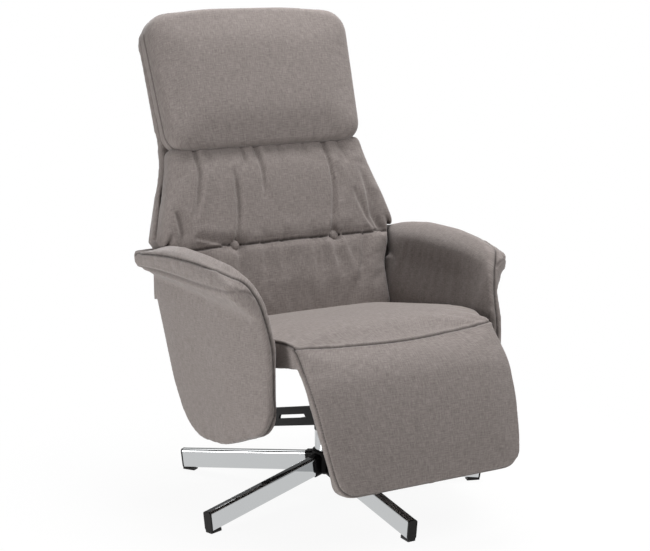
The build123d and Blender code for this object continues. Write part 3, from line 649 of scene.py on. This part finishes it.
def press_fold(piece, face, path, depth, width, ends, front):
    """Press a fold into the cover ahead of a depth; its line is in millimetres on a leaning surface."""
    points = face.local(read_points(piece.data))
    line = dense(rounded(np.array(path) * MM))
    reach = 6 * width
    near = np.all((points[:, :2] > line.min(0) - reach) & (points[:, :2] < line.max(0) + reach), axis=1)
    near &= points[:, 2] > front
    gap, index = path_gap(points[near, :2], line)
    ahead = line[np.minimum(index + 1, len(line) - 1)] - line[np.maximum(index - 1, 0)]
    offset = points[near, :2] - line[index]
    beside = ahead[:, 0] * offset[:, 1] > ahead[:, 1] * offset[:, 0]
    slope = width * np.where(beside, FOLD_GENTLE, FOLD_STEEP)
    roll = FOLD_ROLL * np.exp(-((gap - 4 * width) / (2 * width)) ** 2) * beside
    strength = np.interp(index / (len(line) - 1), (0, 0.3, 0.6, 1), (ends[0], 1, 1, ends[1]))
    points[near, 2] += depth * strength * (roll - np.exp(-(gap / slope) ** 2))
    write_points(piece.data, face.world(points))


def mark(piece, near, share):
    """Keep how far each point lies in a seam, so that the fabric is painted darker there, as shade in the groove.
    """
    seam = piece.data.attributes.get("seam") or piece.data.attributes.new("seam", "FLOAT", "POINT")
    values = np.zeros(len(piece.data.vertices), np.float32)
    seam.data.foreach_get("value", values)
    values[near] = np.maximum(values[near], share)
    seam.data.foreach_set("value", values)


def sew(piece, path, depth=2.5 * MM, width=2.2 * MM, ridge=0.8 * MM, painted_shade=1.0, end=1.0):
    """Sew a seam along points in millimetres on or near the cover, with painted shade in its groove; it may fade
    towards its end.
    """
    surface = BVHTree.FromPolygons(*mesh_parts(piece.data))
    line = np.array([surface.find_nearest(place)[0] for place in dense(rounded(np.array(path) * MM))])
    points = read_points(piece.data)
    near = np.all((points > line.min(0) - 5 * width) & (points < line.max(0) + 5 * width), axis=1)
    gap, index = path_gap(points[near], line)
    groove = np.exp(-(gap / width) ** 2)
    shape = ridge * np.exp(-((gap - 2.2 * width) / width) ** 2) - depth * groove
    shape *= np.interp(index / (len(line) - 1), (0.5, 1), (1, end))
    points[near] += read_normals(piece.data)[near] * shape[:, None]
    write_points(piece.data, points)
    # The groove is also painted darker, as shade, by the given share.
    mark(piece, near, painted_shade * groove)


def sew_on(piece, face, path, **stitch):
    """Sew a seam whose points are across, up and out of a leaning surface, in millimetres."""
    sew(piece, face.world(np.array(path) * MM) / MM, **stitch)


def both_sides(path):
    """A line given for the left side, and the same line on the right."""
    return [[(sign * x, *rest) for x, *rest in path] for sign in (1, -1)]


def lay_threads(piece, across, along):
    """Keep where each point lies in the weave, across and along the cloth, in metres."""
    weave = piece.data.attributes.new("weave", "FLOAT_VECTOR", "POINT")
    places = np.column_stack([across, along, np.zeros_like(across)])
    weave.data.foreach_set("vector", places.astype(np.float32).ravel())


# How far from the middle the cloth has turned fully round a cover's side.
THREAD_TURN = 200 * MM


def threads_on(face, piece):
    """Thread places of a cover on a leaning surface; at its rim the cloth turns round the edge."""
    across, up, out = face.local(read_points(piece.data)).T
    over = out - np.percentile(out, 80)
    return across - over * np.clip(across / THREAD_TURN, -1, 1), up - over


def upholster(piece, body, nodes):
    """Put the fabric on a finished cover, and let it ride on its body in place of its solids."""
    piece.data.materials.clear()
    piece.data.materials.append(linen_fabric(bpy.context.scene.recliner_upholstery))
    piece.data.shade_smooth()
    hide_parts(*nodes)
    if body:
        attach(piece, body)


# The seat's side outline as (y, z), and half its width, in millimetres.
SEAT_PROFILE = (
    (-299, 392), (-299, 428), (-309, 436), (-306, 443), (-292, 447), (-200, 449), (-66, 434), (60, 413),
    (143, 391), (133, 332))
SEAT_HALF = 245
# The footrest's top and lower end as (half width, level) on its own surface, the rounding of its lower
# corners, its rear and front faces, and the rounding of the edges round them.
FOOT_TOP = (244, 13)
FOOT_LOW = (222, -308)
FOOT_CORNER = 36
FOOT_FACES = (-21, 18)
FOOT_EDGES = (18, 8)
# The slab is thinner behind near the hinge, to leave room for the seat's front.
FOOT_THINNING = 13
# The fullness of the footrest's front, how far it stands forward below the hinge, and what share wider
# its front and rear are at mid-length.
FOOT_CROWN = 22
FOOT_FORWARD = 12
FOOT_FRONT_SPREAD = 0.035
FOOT_REAR_SPREAD = -0.045
# How far the seat's rear corners sink, and its sides spread between the arms.
SEAT_CORNER_SINK = 8
SEAT_SPREAD = 17
# Seams as points (x, y, z), or (across, up, out) on the footrest, in millimetres.
FRONT_SEAM = (
    (-246, -307, 442), (-200, -308, 442), (-120, -312, 438), (-20, -318, 432), (70, -317, 433),
    (150, -311, 439), (205, -310, 440), (246, -306, 443))
SEAT_SIDE_SEAM = ((246, -306, 442), (246, -280, 442), (262, -200, 440), (262, -80, 428), (262, 60, 405))
FOOT_SIDE_SEAM = (
    (245, 10, 12), (243, -40, 27), (244, -100, 42), (241, -150, 42), (237, -200, 38), (229, -262, 29),
    (216, -292, 24), (187, -306, 21), (100, -308, 20), (0, -308, 20))
# Two points on the footrest, near its top and lower down; their places are worked out but nothing uses them.
BEND_START = (0, 12, 10)
BEND_END = (0, -85, 10)


def seat_block():
    """The seat: its side outline drawn out across the chair."""
    shape = bmesh.new()
    outline = [shape.verts.new((-SEAT_HALF * MM, y * MM, z * MM)) for y, z in SEAT_PROFILE]
    side = shape.faces.new(outline)
    grown = bmesh.ops.extrude_face_region(shape, geom=[side])["geom"]
    far = [item for item in grown if isinstance(item, bmesh.types.BMVert)]
    bmesh.ops.translate(shape, verts=far, vec=(2 * SEAT_HALF * MM, 0, 0))
    bmesh.ops.recalc_face_normals(shape, faces=shape.faces)
    return shape


def foot_block():
    """The footrest: a slab that narrows downwards, with round corners and edges."""
    shape = bmesh.new()
    (top, high), (low, deep) = FOOT_TOP, FOOT_LOW
    rear = FOOT_FACES[0] * MM
    outline = ((-top, high), (-low, deep), (low, deep), (top, high))
    ring = [shape.verts.new((x * MM, up * MM, rear)) for x, up in outline]
    shape.faces.new(ring)
    bmesh.ops.bevel(
        shape, geom=ring[1:3], offset=FOOT_CORNER * MM, segments=8, profile=0.5, affect="VERTICES",
        material=-1)
    grown = bmesh.ops.extrude_face_region(shape, geom=[*shape.faces])["geom"]
    lifted = [item for item in grown if isinstance(item, bmesh.types.BMVert)]
    bmesh.ops.translate(shape, verts=lifted, vec=(0, 0, (FOOT_FACES[1] - FOOT_FACES[0]) * MM))
    for depth, edge in zip(FOOT_FACES, FOOT_EDGES):
        rim = [e for e in shape.edges if all(abs(v.co.z - depth * MM) < 1e-6 for v in e.verts)]
        bmesh.ops.bevel(
            shape, geom=rim, offset=edge * MM, segments=4, profile=0.5, affect="EDGES", material=-1)
    bmesh.ops.recalc_face_normals(shape, faces=shape.faces)
    bmesh.ops.transform(shape, matrix=FOOT.turned_at(FOOT.origin), verts=shape.verts)
    for vertex in shape.verts:
        _, up, out = FOOT.local(np.array(vertex.co))
        if out < -4 * MM:
            share = float(1 - ease(-up, 50 * MM, 95 * MM))
            vertex.co += Vector(FOOT.axes[2]) * FOOT_THINNING * MM * share
    return shape


def fill_footrest(points):
    """The footrest is fullest a little above its middle, and its rear edge is drawn in."""
    places = FOOT.local(points)
    across, up, out = places.T.copy()
    along = np.clip((FOOT_TOP[1] * MM - up) / ((FOOT_TOP[1] - FOOT_LOW[1]) * MM), 0, 1)
    front = ease(out, -15 * MM, 8 * MM)
    edge = np.maximum(ease(abs(across), 218 * MM, 243 * MM), ease(-up, 285 * MM, 308 * MM))
    crown = FOOT_CROWN * MM * np.sin(np.pi * along ** 0.8) * ease(out, 0, 12 * MM)
    forward = FOOT_FORWARD * MM * ease(-up, 10 * MM, 90 * MM) * (front + (1 - front) * edge)
    spread = np.sin(np.pi * along) * (FOOT_FRONT_SPREAD * front + FOOT_REAR_SPREAD * (1 - front))
    places[:, 2] += crown + forward
    places[:, 0] *= 1 + spread
    return FOOT.world(places)


def settle_seat(points):
    """The seat's rear corners sink under the arms, and it fills the room between them."""
    x, y, z = points.T
    rear = ease(y, -150 * MM, 0) * (z > 360 * MM)
    z -= SEAT_CORNER_SINK * MM * rear * ease(abs(x), 120 * MM, 245 * MM)
    between = ease(y, -275 * MM, -215 * MM) * (z > 320 * MM)
    x += SEAT_SPREAD * MM * np.sign(x) * between * ease(abs(x), 180 * MM, 243 * MM)


def seat_threads(points):
    """Thread places of the seat's cover: the same cloth goes on from the seat's top to the footrest."""
    hung = FOOT.local(points)
    lying = SEAT.local(points)
    turned = ease(hung[:, 1], -10 * MM, 20 * MM)
    over = (1 - turned) * (hung[:, 2] - 30 * MM) + turned * (lying[:, 2] - 60 * MM)
    across = points[:, 0] - over * np.clip(points[:, 0] / THREAD_TURN, -1, 1)
    return across, (1 - turned) * hung[:, 1] + turned * (lying[:, 1] + 70 * MM)


class RECLINER_OT_seat(bpy.types.Operator):
    """Cover the seat and the footrest with one padded length of fabric that bends at the front"""

    bl_idname = "recliner.seat"
    bl_label = "Seat and footrest cover"

    def execute(self, context):
        shape = seat_block()
        foot = foot_block()
        block = bpy.data.meshes.new("footrest_block")
        foot.to_mesh(block)
        foot.free()
        shape.from_mesh(block)
        bpy.data.meshes.remove(block)
        piece = piece_from(shape, "seat_and_footrest_cover")
        even_faces(piece, 5 * MM, soften=5)
        loose = facing(piece, SEAT.axes[2]) | facing(piece, FOOT.axes[2])
        swell(piece, ~loose, cap=16 * MM, slack=0.004)
        subdivide(piece)
        points = fill_footrest(read_points(piece.data))
        settle_seat(points)
        write_points(piece.data, points)
        sew(piece, FRONT_SEAM, width=2.8 * MM)
        for seat_side, foot_side in zip(both_sides(SEAT_SIDE_SEAM), both_sides(FOOT_SIDE_SEAM)):
            sew(piece, seat_side, width=2.6 * MM)
            sew_on(piece, FOOT, foot_side, width=2.6 * MM)
        lay_threads(piece, *seat_threads(read_points(piece.data)))
        upholster(piece, None, ["seat_cushion", "footrest_pad", "footrest_board"])
        start = FOOT.world(np.array(BEND_START) * MM)
        end = FOOT.world(np.array(BEND_END) * MM)
        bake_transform(piece)
        return {"FINISHED"}


# Places on the back are across it and up it, in millimetres.
SEAM_LEVEL = 173
BUTTON_SPREAD = 133
BUTTON_RISE = 5
DIMPLE_DEPTH = 7
DIMPLE_WIDTH = 15
# The shell's front edge comes forward to the cushion, and its wings are drawn in behind.
SHELL_FORWARD = 13
SHELL_WING = 292
SHELL_NARROWING = 0.05
# The strip that joins the two cushions at the seam: its width, height and depth.
SEAM_STRIP = (536, 34, 36)
SEAM_STRIP_DEPTH = 40
# How much wider the cushion is than its solid on each side, as (level, widening).
CUSHION_WIDENING = ((0, 7), (80, 9), (140, 17), (180, 13), (210, 0))
# How far the wings hang lower than the solid, and their front edge lower still, how far the cushion goes
# up under the headrest and down behind the seat, and how far out its folded front starts.
WING_DROOP = 19
WING_FRONT_DROOP = 10
CUSHION_TOP_RISE = 12
CUSHION_LOWER_DROP = 30
CUSHION_FRONT = 35
BACK_SEAM = (
    (-282, 172, 60), (-200, 171, 60), (-133, 172, 60), (0, 174, 60), (133, 173, 60), (220, 171, 60),
    (282, 171, 60))
# Folds of the back: a line of (across, up), how deep and how wide it is, and how strong it is at its two
# ends. The first ones hang from under the headrest, the next run to the buttons and the seam, the last
# are gathers below the seam.
BACK_FOLDS = (
    (((-197, 398), (-197, 347), (-206, 312), (-218, 273), (-231, 243)), 7.5, 5, (1, 0)),
    (((-75, 400), (-73, 380), (-71, 355)), 4.5, 5, (1, 0)),
    (((-39, 398), (-33, 347), (-37, 311), (-40, 275)), 6, 5, (1, 0)),
    (((22, 400), (24, 380), (25, 350)), 3, 6, (1, 0)),
    (((92, 400), (95, 380), (96, 350)), 3, 6, (1, 0)),
    (((187, 400), (195, 380), (203, 345)), 4.5, 6, (1, 0)),
    (((-107, 360), (-109, 304), (-113, 257), (-120, 221), (-131, 185)), 7.5, 5, (0, 1)),
    (((146, 398), (152, 329), (149, 284), (137, 230), (127, 185)), 7.5, 5, (1, 1)),
    (((168, 352), (170, 303), (161, 252)), 4.5, 6, (0, 0)),
    (((231, 335), (242, 284), (241, 234), (250, 178)), 6, 7, (0, 1)),
    (((202, 285), (220, 228), (239, 178)), 4.5, 6, (0, 1)),
    (((-267, 265), (-264, 229), (-263, 180)), 6, 6, (0, 1)),
    (((-232, 200), (-190, 186), (-150, 176)), 4.5, 6, (0, 1)),
    (((-10, 172), (-16, 130), (-24, 80)), 3, 10, (1, 0)),
    (((71, 172), (71, 125), (69, 70)), 3, 10, (1, 0)),
    (((95, 172), (91, 130), (86, 90)), 3, 8, (1, 0)),
    (((124, 168), (126, 130), (133, 70)), 4.5, 9, (1, 0)),
    (((160, 172), (168, 130), (180, 80)), 3, 10, (1, 0)),
    (((210, 165), (198, 110), (174, 50)), 6, 8, (0.6, 0)),
    (((-128, 168), (-132, 130), (-142, 75)), 4.5, 10, (1, 0)),
    (((-60, 172), (-66, 130), (-70, 80)), 3, 10, (1, 0)),
    (((-225, 172), (-215, 120), (-200, 60)), 4.5, 9, (1, 0)),
)


def shape_shell(points):
    """Bring the shell's front edge forward, and draw its wings in behind the cushion's."""
    across, up, out = points.T
    out += SHELL_FORWARD * MM * (out > 4 * MM)
    wing = ease(up, 120 * MM, 215 * MM) * (1 - ease(up, 230 * MM, 380 * MM))
    wing *= abs(across) > SHELL_WING * MM
    across *= 1 - SHELL_NARROWING * wing * (1 - ease(out, -8 * MM, 21 * MM))


def add_seam_strip(piece):
    """Join the two cushions' solids by a strip behind the seam."""
    shape = bmesh.new()
    shape.from_mesh(piece.data)
    strip = bmesh.ops.create_cube(shape, size=1.0)["verts"]
    bmesh.ops.scale(shape, vec=[size * MM for size in SEAM_STRIP], verts=strip)
    middle = BACK.world(np.array((0, SEAM_LEVEL, SEAM_STRIP_DEPTH)) * MM)
    bmesh.ops.transform(shape, matrix=BACK.turned_at(Vector(middle)), verts=strip)
    shape.to_mesh(piece.data)
    shape.free()


def shape_cushion(points):
    """Fill the room between the arms, lower the wings to them, and tuck the top under the headrest."""
    side = np.sign(points[:, 0])
    across, level = abs(points[:, 0]), points[:, 1].copy()
    levels, widening = np.array(CUSHION_WIDENING).T * MM
    points[:, 0] += side * np.interp(level, levels, widening) * ease(across, 200 * MM, 262 * MM)
    droop = WING_DROOP * MM + WING_FRONT_DROOP * MM * ease(points[:, 2], 20 * MM, 60 * MM)
    points[:, 1] -= droop * ease(across, 284 * MM, 312 * MM) * (1 - ease(level, 215 * MM, 330 * MM))
    points[:, 1] += CUSHION_TOP_RISE * MM * ease(level, 375 * MM, 400 * MM)
    points[:, 1] -= CUSHION_LOWER_DROP * MM * (1 - ease(level, 5 * MM, 60 * MM))


def press_dimples(points):
    """The buttons draw the cushion in round them."""
    for x in (BUTTON_SPREAD, -BUTTON_SPREAD):
        gap = np.hypot(points[:, 0] - x * MM, points[:, 1] - SEAM_LEVEL * MM)
        dimple = DIMPLE_DEPTH * MM * np.exp(-(gap / (DIMPLE_WIDTH * MM)) ** 2)
        points[:, 2] -= dimple * (points[:, 2] > 30 * MM)


class RECLINER_OT_back(bpy.types.Operator):
    """Cover the back: the rear shell, and a winged front cushion gathered along a seam at its buttons"""

    bl_idname = "recliner.back"
    bl_label = "Back covers"

    def execute(self, context):
        self.cover_shell()
        self.cover_cushion()
        return {"FINISHED"}

    def cover_shell(self):
        piece = solid_copy("back_shell_cover", "back_shell")
        points = BACK.local(read_points(piece.data))
        shape_shell(points)
        write_points(piece.data, BACK.world(points))
        even_faces(piece, 6 * MM, soften=8)
        lay_threads(piece, *threads_on(BACK, piece))
        upholster(piece, "back", ["back_shell", "back_board"])

    def cover_cushion(self):
        piece = solid_copy("back_cushion_cover", "lower_back_cushion", "upper_back_cushion")
        add_seam_strip(piece)
        even_faces(piece, 5 * MM, soften=3)
        swell(piece, ~facing(piece, BACK.axes[2], 0.7), cap=14 * MM, slack=0.008)
        subdivide(piece)
        for path, depth, width, ends in BACK_FOLDS:
            press_fold(piece, BACK, path, depth * MM, width * MM, ends, CUSHION_FRONT * MM)
        points = BACK.local(read_points(piece.data))
        shape_cushion(points)
        press_dimples(points)
        write_points(piece.data, BACK.world(points))
        sew_on(piece, BACK, BACK_SEAM, depth=3.5 * MM, width=2.6 * MM)
        lay_threads(piece, *threads_on(BACK, piece))
        upholster(piece, "back", ["lower_back_cushion", "upper_back_cushion"])


# The seam down the headrest's side as (across, up, out) on the back, in millimetres.
HEADREST_SEAM = ((225, 404, 50), (262, 425, 50), (270, 470, 50), (270, 690, 50))


class RECLINER_OT_headrest(bpy.types.Operator):
    """Cover the headrest: a full cushion with a seam down each side"""

    bl_idname = "recliner.headrest"
    bl_label = "Headrest cover"

    def execute(self, context):
        piece = solid_copy("headrest_cover", "headrest_pad")
        even_faces(piece, 5 * MM, soften=4)
        swell(piece, ~facing(piece, BACK.axes[2]), cap=14 * MM, slack=0.003)
        subdivide(piece)
        for seam in both_sides(HEADREST_SEAM):
            sew_on(piece, BACK, seam)
        lay_threads(piece, *threads_on(BACK, piece))
        upholster(piece, "back", ["headrest_pad"])
        return {"FINISHED"}


# A button's outline from the middle of its front to its rear edge, as (radius, height), in millimetres.
BUTTON_PROFILE = ((0, 7.5), (5, 7), (9, 5.4), (12, 2.8), (13, 0), (12.2, -2.6), (9, -5))
BUTTON_FACETS = 32
# How far ahead of the back the line to the cushion starts, on which a button is sewn down.
BUTTON_SIGHT = 200


class RECLINER_OT_buttons(bpy.types.Operator):
    """Cover the two buttons on the back's seam"""

    bl_idname = "recliner.buttons"
    bl_label = "Buttons"

    def execute(self, context):
        shape = bmesh.new()
        cushion = BVHTree.FromPolygons(*mesh_parts(bpy.data.objects["back_cushion_cover"].data))
        for x in (BUTTON_SPREAD, -BUTTON_SPREAD):
            ahead = BACK.world(np.array((x, SEAM_LEVEL, BUTTON_SIGHT)) * MM)
            sewn = cushion.ray_cast(Vector(ahead), Vector(-BACK.axes[2]))[0]
            place = Vector(BACK.local(np.array(sewn))) + Vector((0, 0, BUTTON_RISE * MM))
            ring = [
                shape.verts.new((place.x + radius * MM, place.y, place.z + height * MM))
                for radius, height in BUTTON_PROFILE]
            line = [shape.edges.new(pair) for pair in zip(ring, ring[1:])]
            bmesh.ops.spin(
                shape, geom=[*ring, *line], cent=place, axis=(0, 0, 1), angle=2 * math.pi,
                steps=BUTTON_FACETS, use_merge=True)
        bmesh.ops.remove_doubles(shape, verts=shape.verts, dist=0.01 * MM)
        bmesh.ops.holes_fill(shape, edges=shape.edges)
        bmesh.ops.recalc_face_normals(shape, faces=shape.faces)
        bmesh.ops.transform(shape, matrix=BACK.turned_at(BACK.origin), verts=shape.verts)
        piece = piece_from(shape, "button_covers")
        lay_threads(piece, *threads_on(BACK, piece))
        upholster(piece, "back", ["back_buttons"])
        return {"FINISHED"}


# Seams of the left arm as points (x, y, z) in millimetres: the piping round its top and down its front
# edge, and the crease under the flare, which is shallow at the front.
ARM_SEAM = (
    (343, 268, 546), (347, 150, 569), (348, 0, 582), (346, -80, 584), (338, -150, 580), (328, -190, 574),
    (317, -217, 570), (307, -233, 560), (298, -246, 543), (289, -257, 510), (283, -268, 470),
    (281, -278, 438), (280, -281, 400), (280, -280, 355), (280, -275, 322), (280, -266, 295),
    (281, -250, 266), (283, -225, 246), (285, -190, 238))
ARM_BAND = (
    (335, 268, 522), (343, 150, 531), (345, 0, 538), (345, -60, 541), (345, -100, 544), (344, -160, 549))
ARM_BAND_FRONT = (
    (344, -160, 549), (343, -190, 552), (338, -215, 554), (318, -238, 555), (303, -247, 550))
# How far the top's outer edge and its crest stand above the solid, as (y, rise), in millimetres.
ARM_EDGE_RISE = (
    (-270, 0), (-215, 2), (-150, 8), (-60, 13), (60, 11), (150, 6), (230, 0), (290, -7))
ARM_CREST_RISE = (
    (-270, 0), (-235, 6), (-200, 14), (-150, 22), (-60, 24), (60, 22), (150, 14), (230, 3), (290, -7))
# How much the flare thins to the front, how far its rear reaches past the panel, how often the panel is
# smoothed below it, and the middle of the arm's thickness.
FLARE_THINNING = 12
FLARE_REAR_REACH = 9
PANEL_SMOOTHING = 60
ARM_MIDDLE = 325


def shape_flare(points):
    """Raise the arm's flared top, thin it to the front and extend its rear; points in millimetres."""
    x, y, z = points.T.copy()
    edge = np.interp(y, *zip(*ARM_EDGE_RISE))
    crest = np.interp(y, *zip(*ARM_CREST_RISE))
    inner = 1 - ease(x, 308, 340)
    points[:, 2] += (edge + (crest - edge) * inner) * ease(z, 500, 552)
    under = (1 - ease(z, 535, 565)) * ease(z, 490, 520) * ease(x, 300, 325)
    points[:, 2] += FLARE_THINNING * (1 - ease(y, -230, -90)) * under
    points[:, 1] += FLARE_REAR_REACH * ease(y, 200, 289) * ease(z, 500, 530)


def below_flare(points):
    """Which points, in millimetres, lie on the panel's outer side below the front of the flare."""
    x, y, z = points.T
    return (x > 300) & (y > -238) & (y < -40) & (z > 430) & (z < 531)


class RECLINER_OT_arms(bpy.types.Operator):
    """Cover both arms: soft panels with flared, piped tops"""

    bl_idname = "recliner.arms"
    bl_label = "Arm covers"

    def execute(self, context):
        left = solid_copy("left_arm_cover", "left_arm_panel", "left_arm_pad")
        even_faces(left, 5 * MM, soften=6)
        loose = facing(left, (1, 0, 0), 0.9) | facing(left, (-1, 0, 0), 0.9)
        swell(left, ~loose, cap=8 * MM, slack=0.004)
        subdivide(left)
        points = read_points(left.data) / MM
        shape_flare(points)
        write_points(left.data, points * MM)
        smooth_points(left, below_flare(points), PANEL_SMOOTHING)
        sew(left, ARM_SEAM)
        # The crease under the flare and its front get a weaker painted shade than the piping seam, as shade under
        # the overhanging pad.
        sew(left, ARM_BAND, depth=5 * MM, width=4 * MM, ridge=1.5 * MM, painted_shade=0.4, end=0.2)
        sew(left, ARM_BAND_FRONT, depth=1.2 * MM, width=3 * MM, ridge=0.4 * MM, painted_shade=0.4)
        x, y, z = read_points(left.data).T
        lay_threads(left, y + x, z - abs(x - ARM_MIDDLE * MM))
        right = mirrored_copy(left, "right_arm_cover")
        for piece, side in ((left, "left"), (right, "right")):
            upholster(piece, "seat_unit", [side + "_arm_panel", side + "_arm_pad"])
        return {"FINISHED"}


OPERATORS = (
    RECLINER_OT_stage, RECLINER_OT_finishes, RECLINER_OT_seat, RECLINER_OT_back,
    RECLINER_OT_headrest, RECLINER_OT_buttons, RECLINER_OT_arms)


class RECLINER_PT_panel(bpy.types.Panel):
    """Buttons for the recliner's pieces"""

    bl_idname = "RECLINER_PT_panel"
    bl_label = "Swivel recliner"
    bl_space_type = "VIEW_3D"
    bl_region_type = "UI"
    bl_category = "Recliner"

    def draw(self, context):
        for operator in OPERATORS:
            self.layout.operator(operator.bl_idname)


SETTINGS = {
    "recliner_upholstery": UpholsterySettings,
    "recliner_finish": FinishSettings,
    "recliner_stage": StageSettings,
}
CLASSES = (*SETTINGS.values(), *OPERATORS, RECLINER_PT_panel)


def register():
    for each in CLASSES:
        bpy.utils.register_class(each)
    for name, group in SETTINGS.items():
        setattr(bpy.types.Scene, name, PointerProperty(type=group))


def unregister():
    for name in SETTINGS:
        delattr(bpy.types.Scene, name)
    for each in reversed(CLASSES):
        bpy.utils.unregister_class(each)


def main():
    register()
    bpy.ops.recliner.stage()
    bpy.ops.recliner.finishes()
    bpy.ops.recliner.seat()
    bpy.ops.recliner.back()
    bpy.ops.recliner.headrest()
    bpy.ops.recliner.buttons()
    bpy.ops.recliner.arms()


if __name__ == "__main__":
    main()
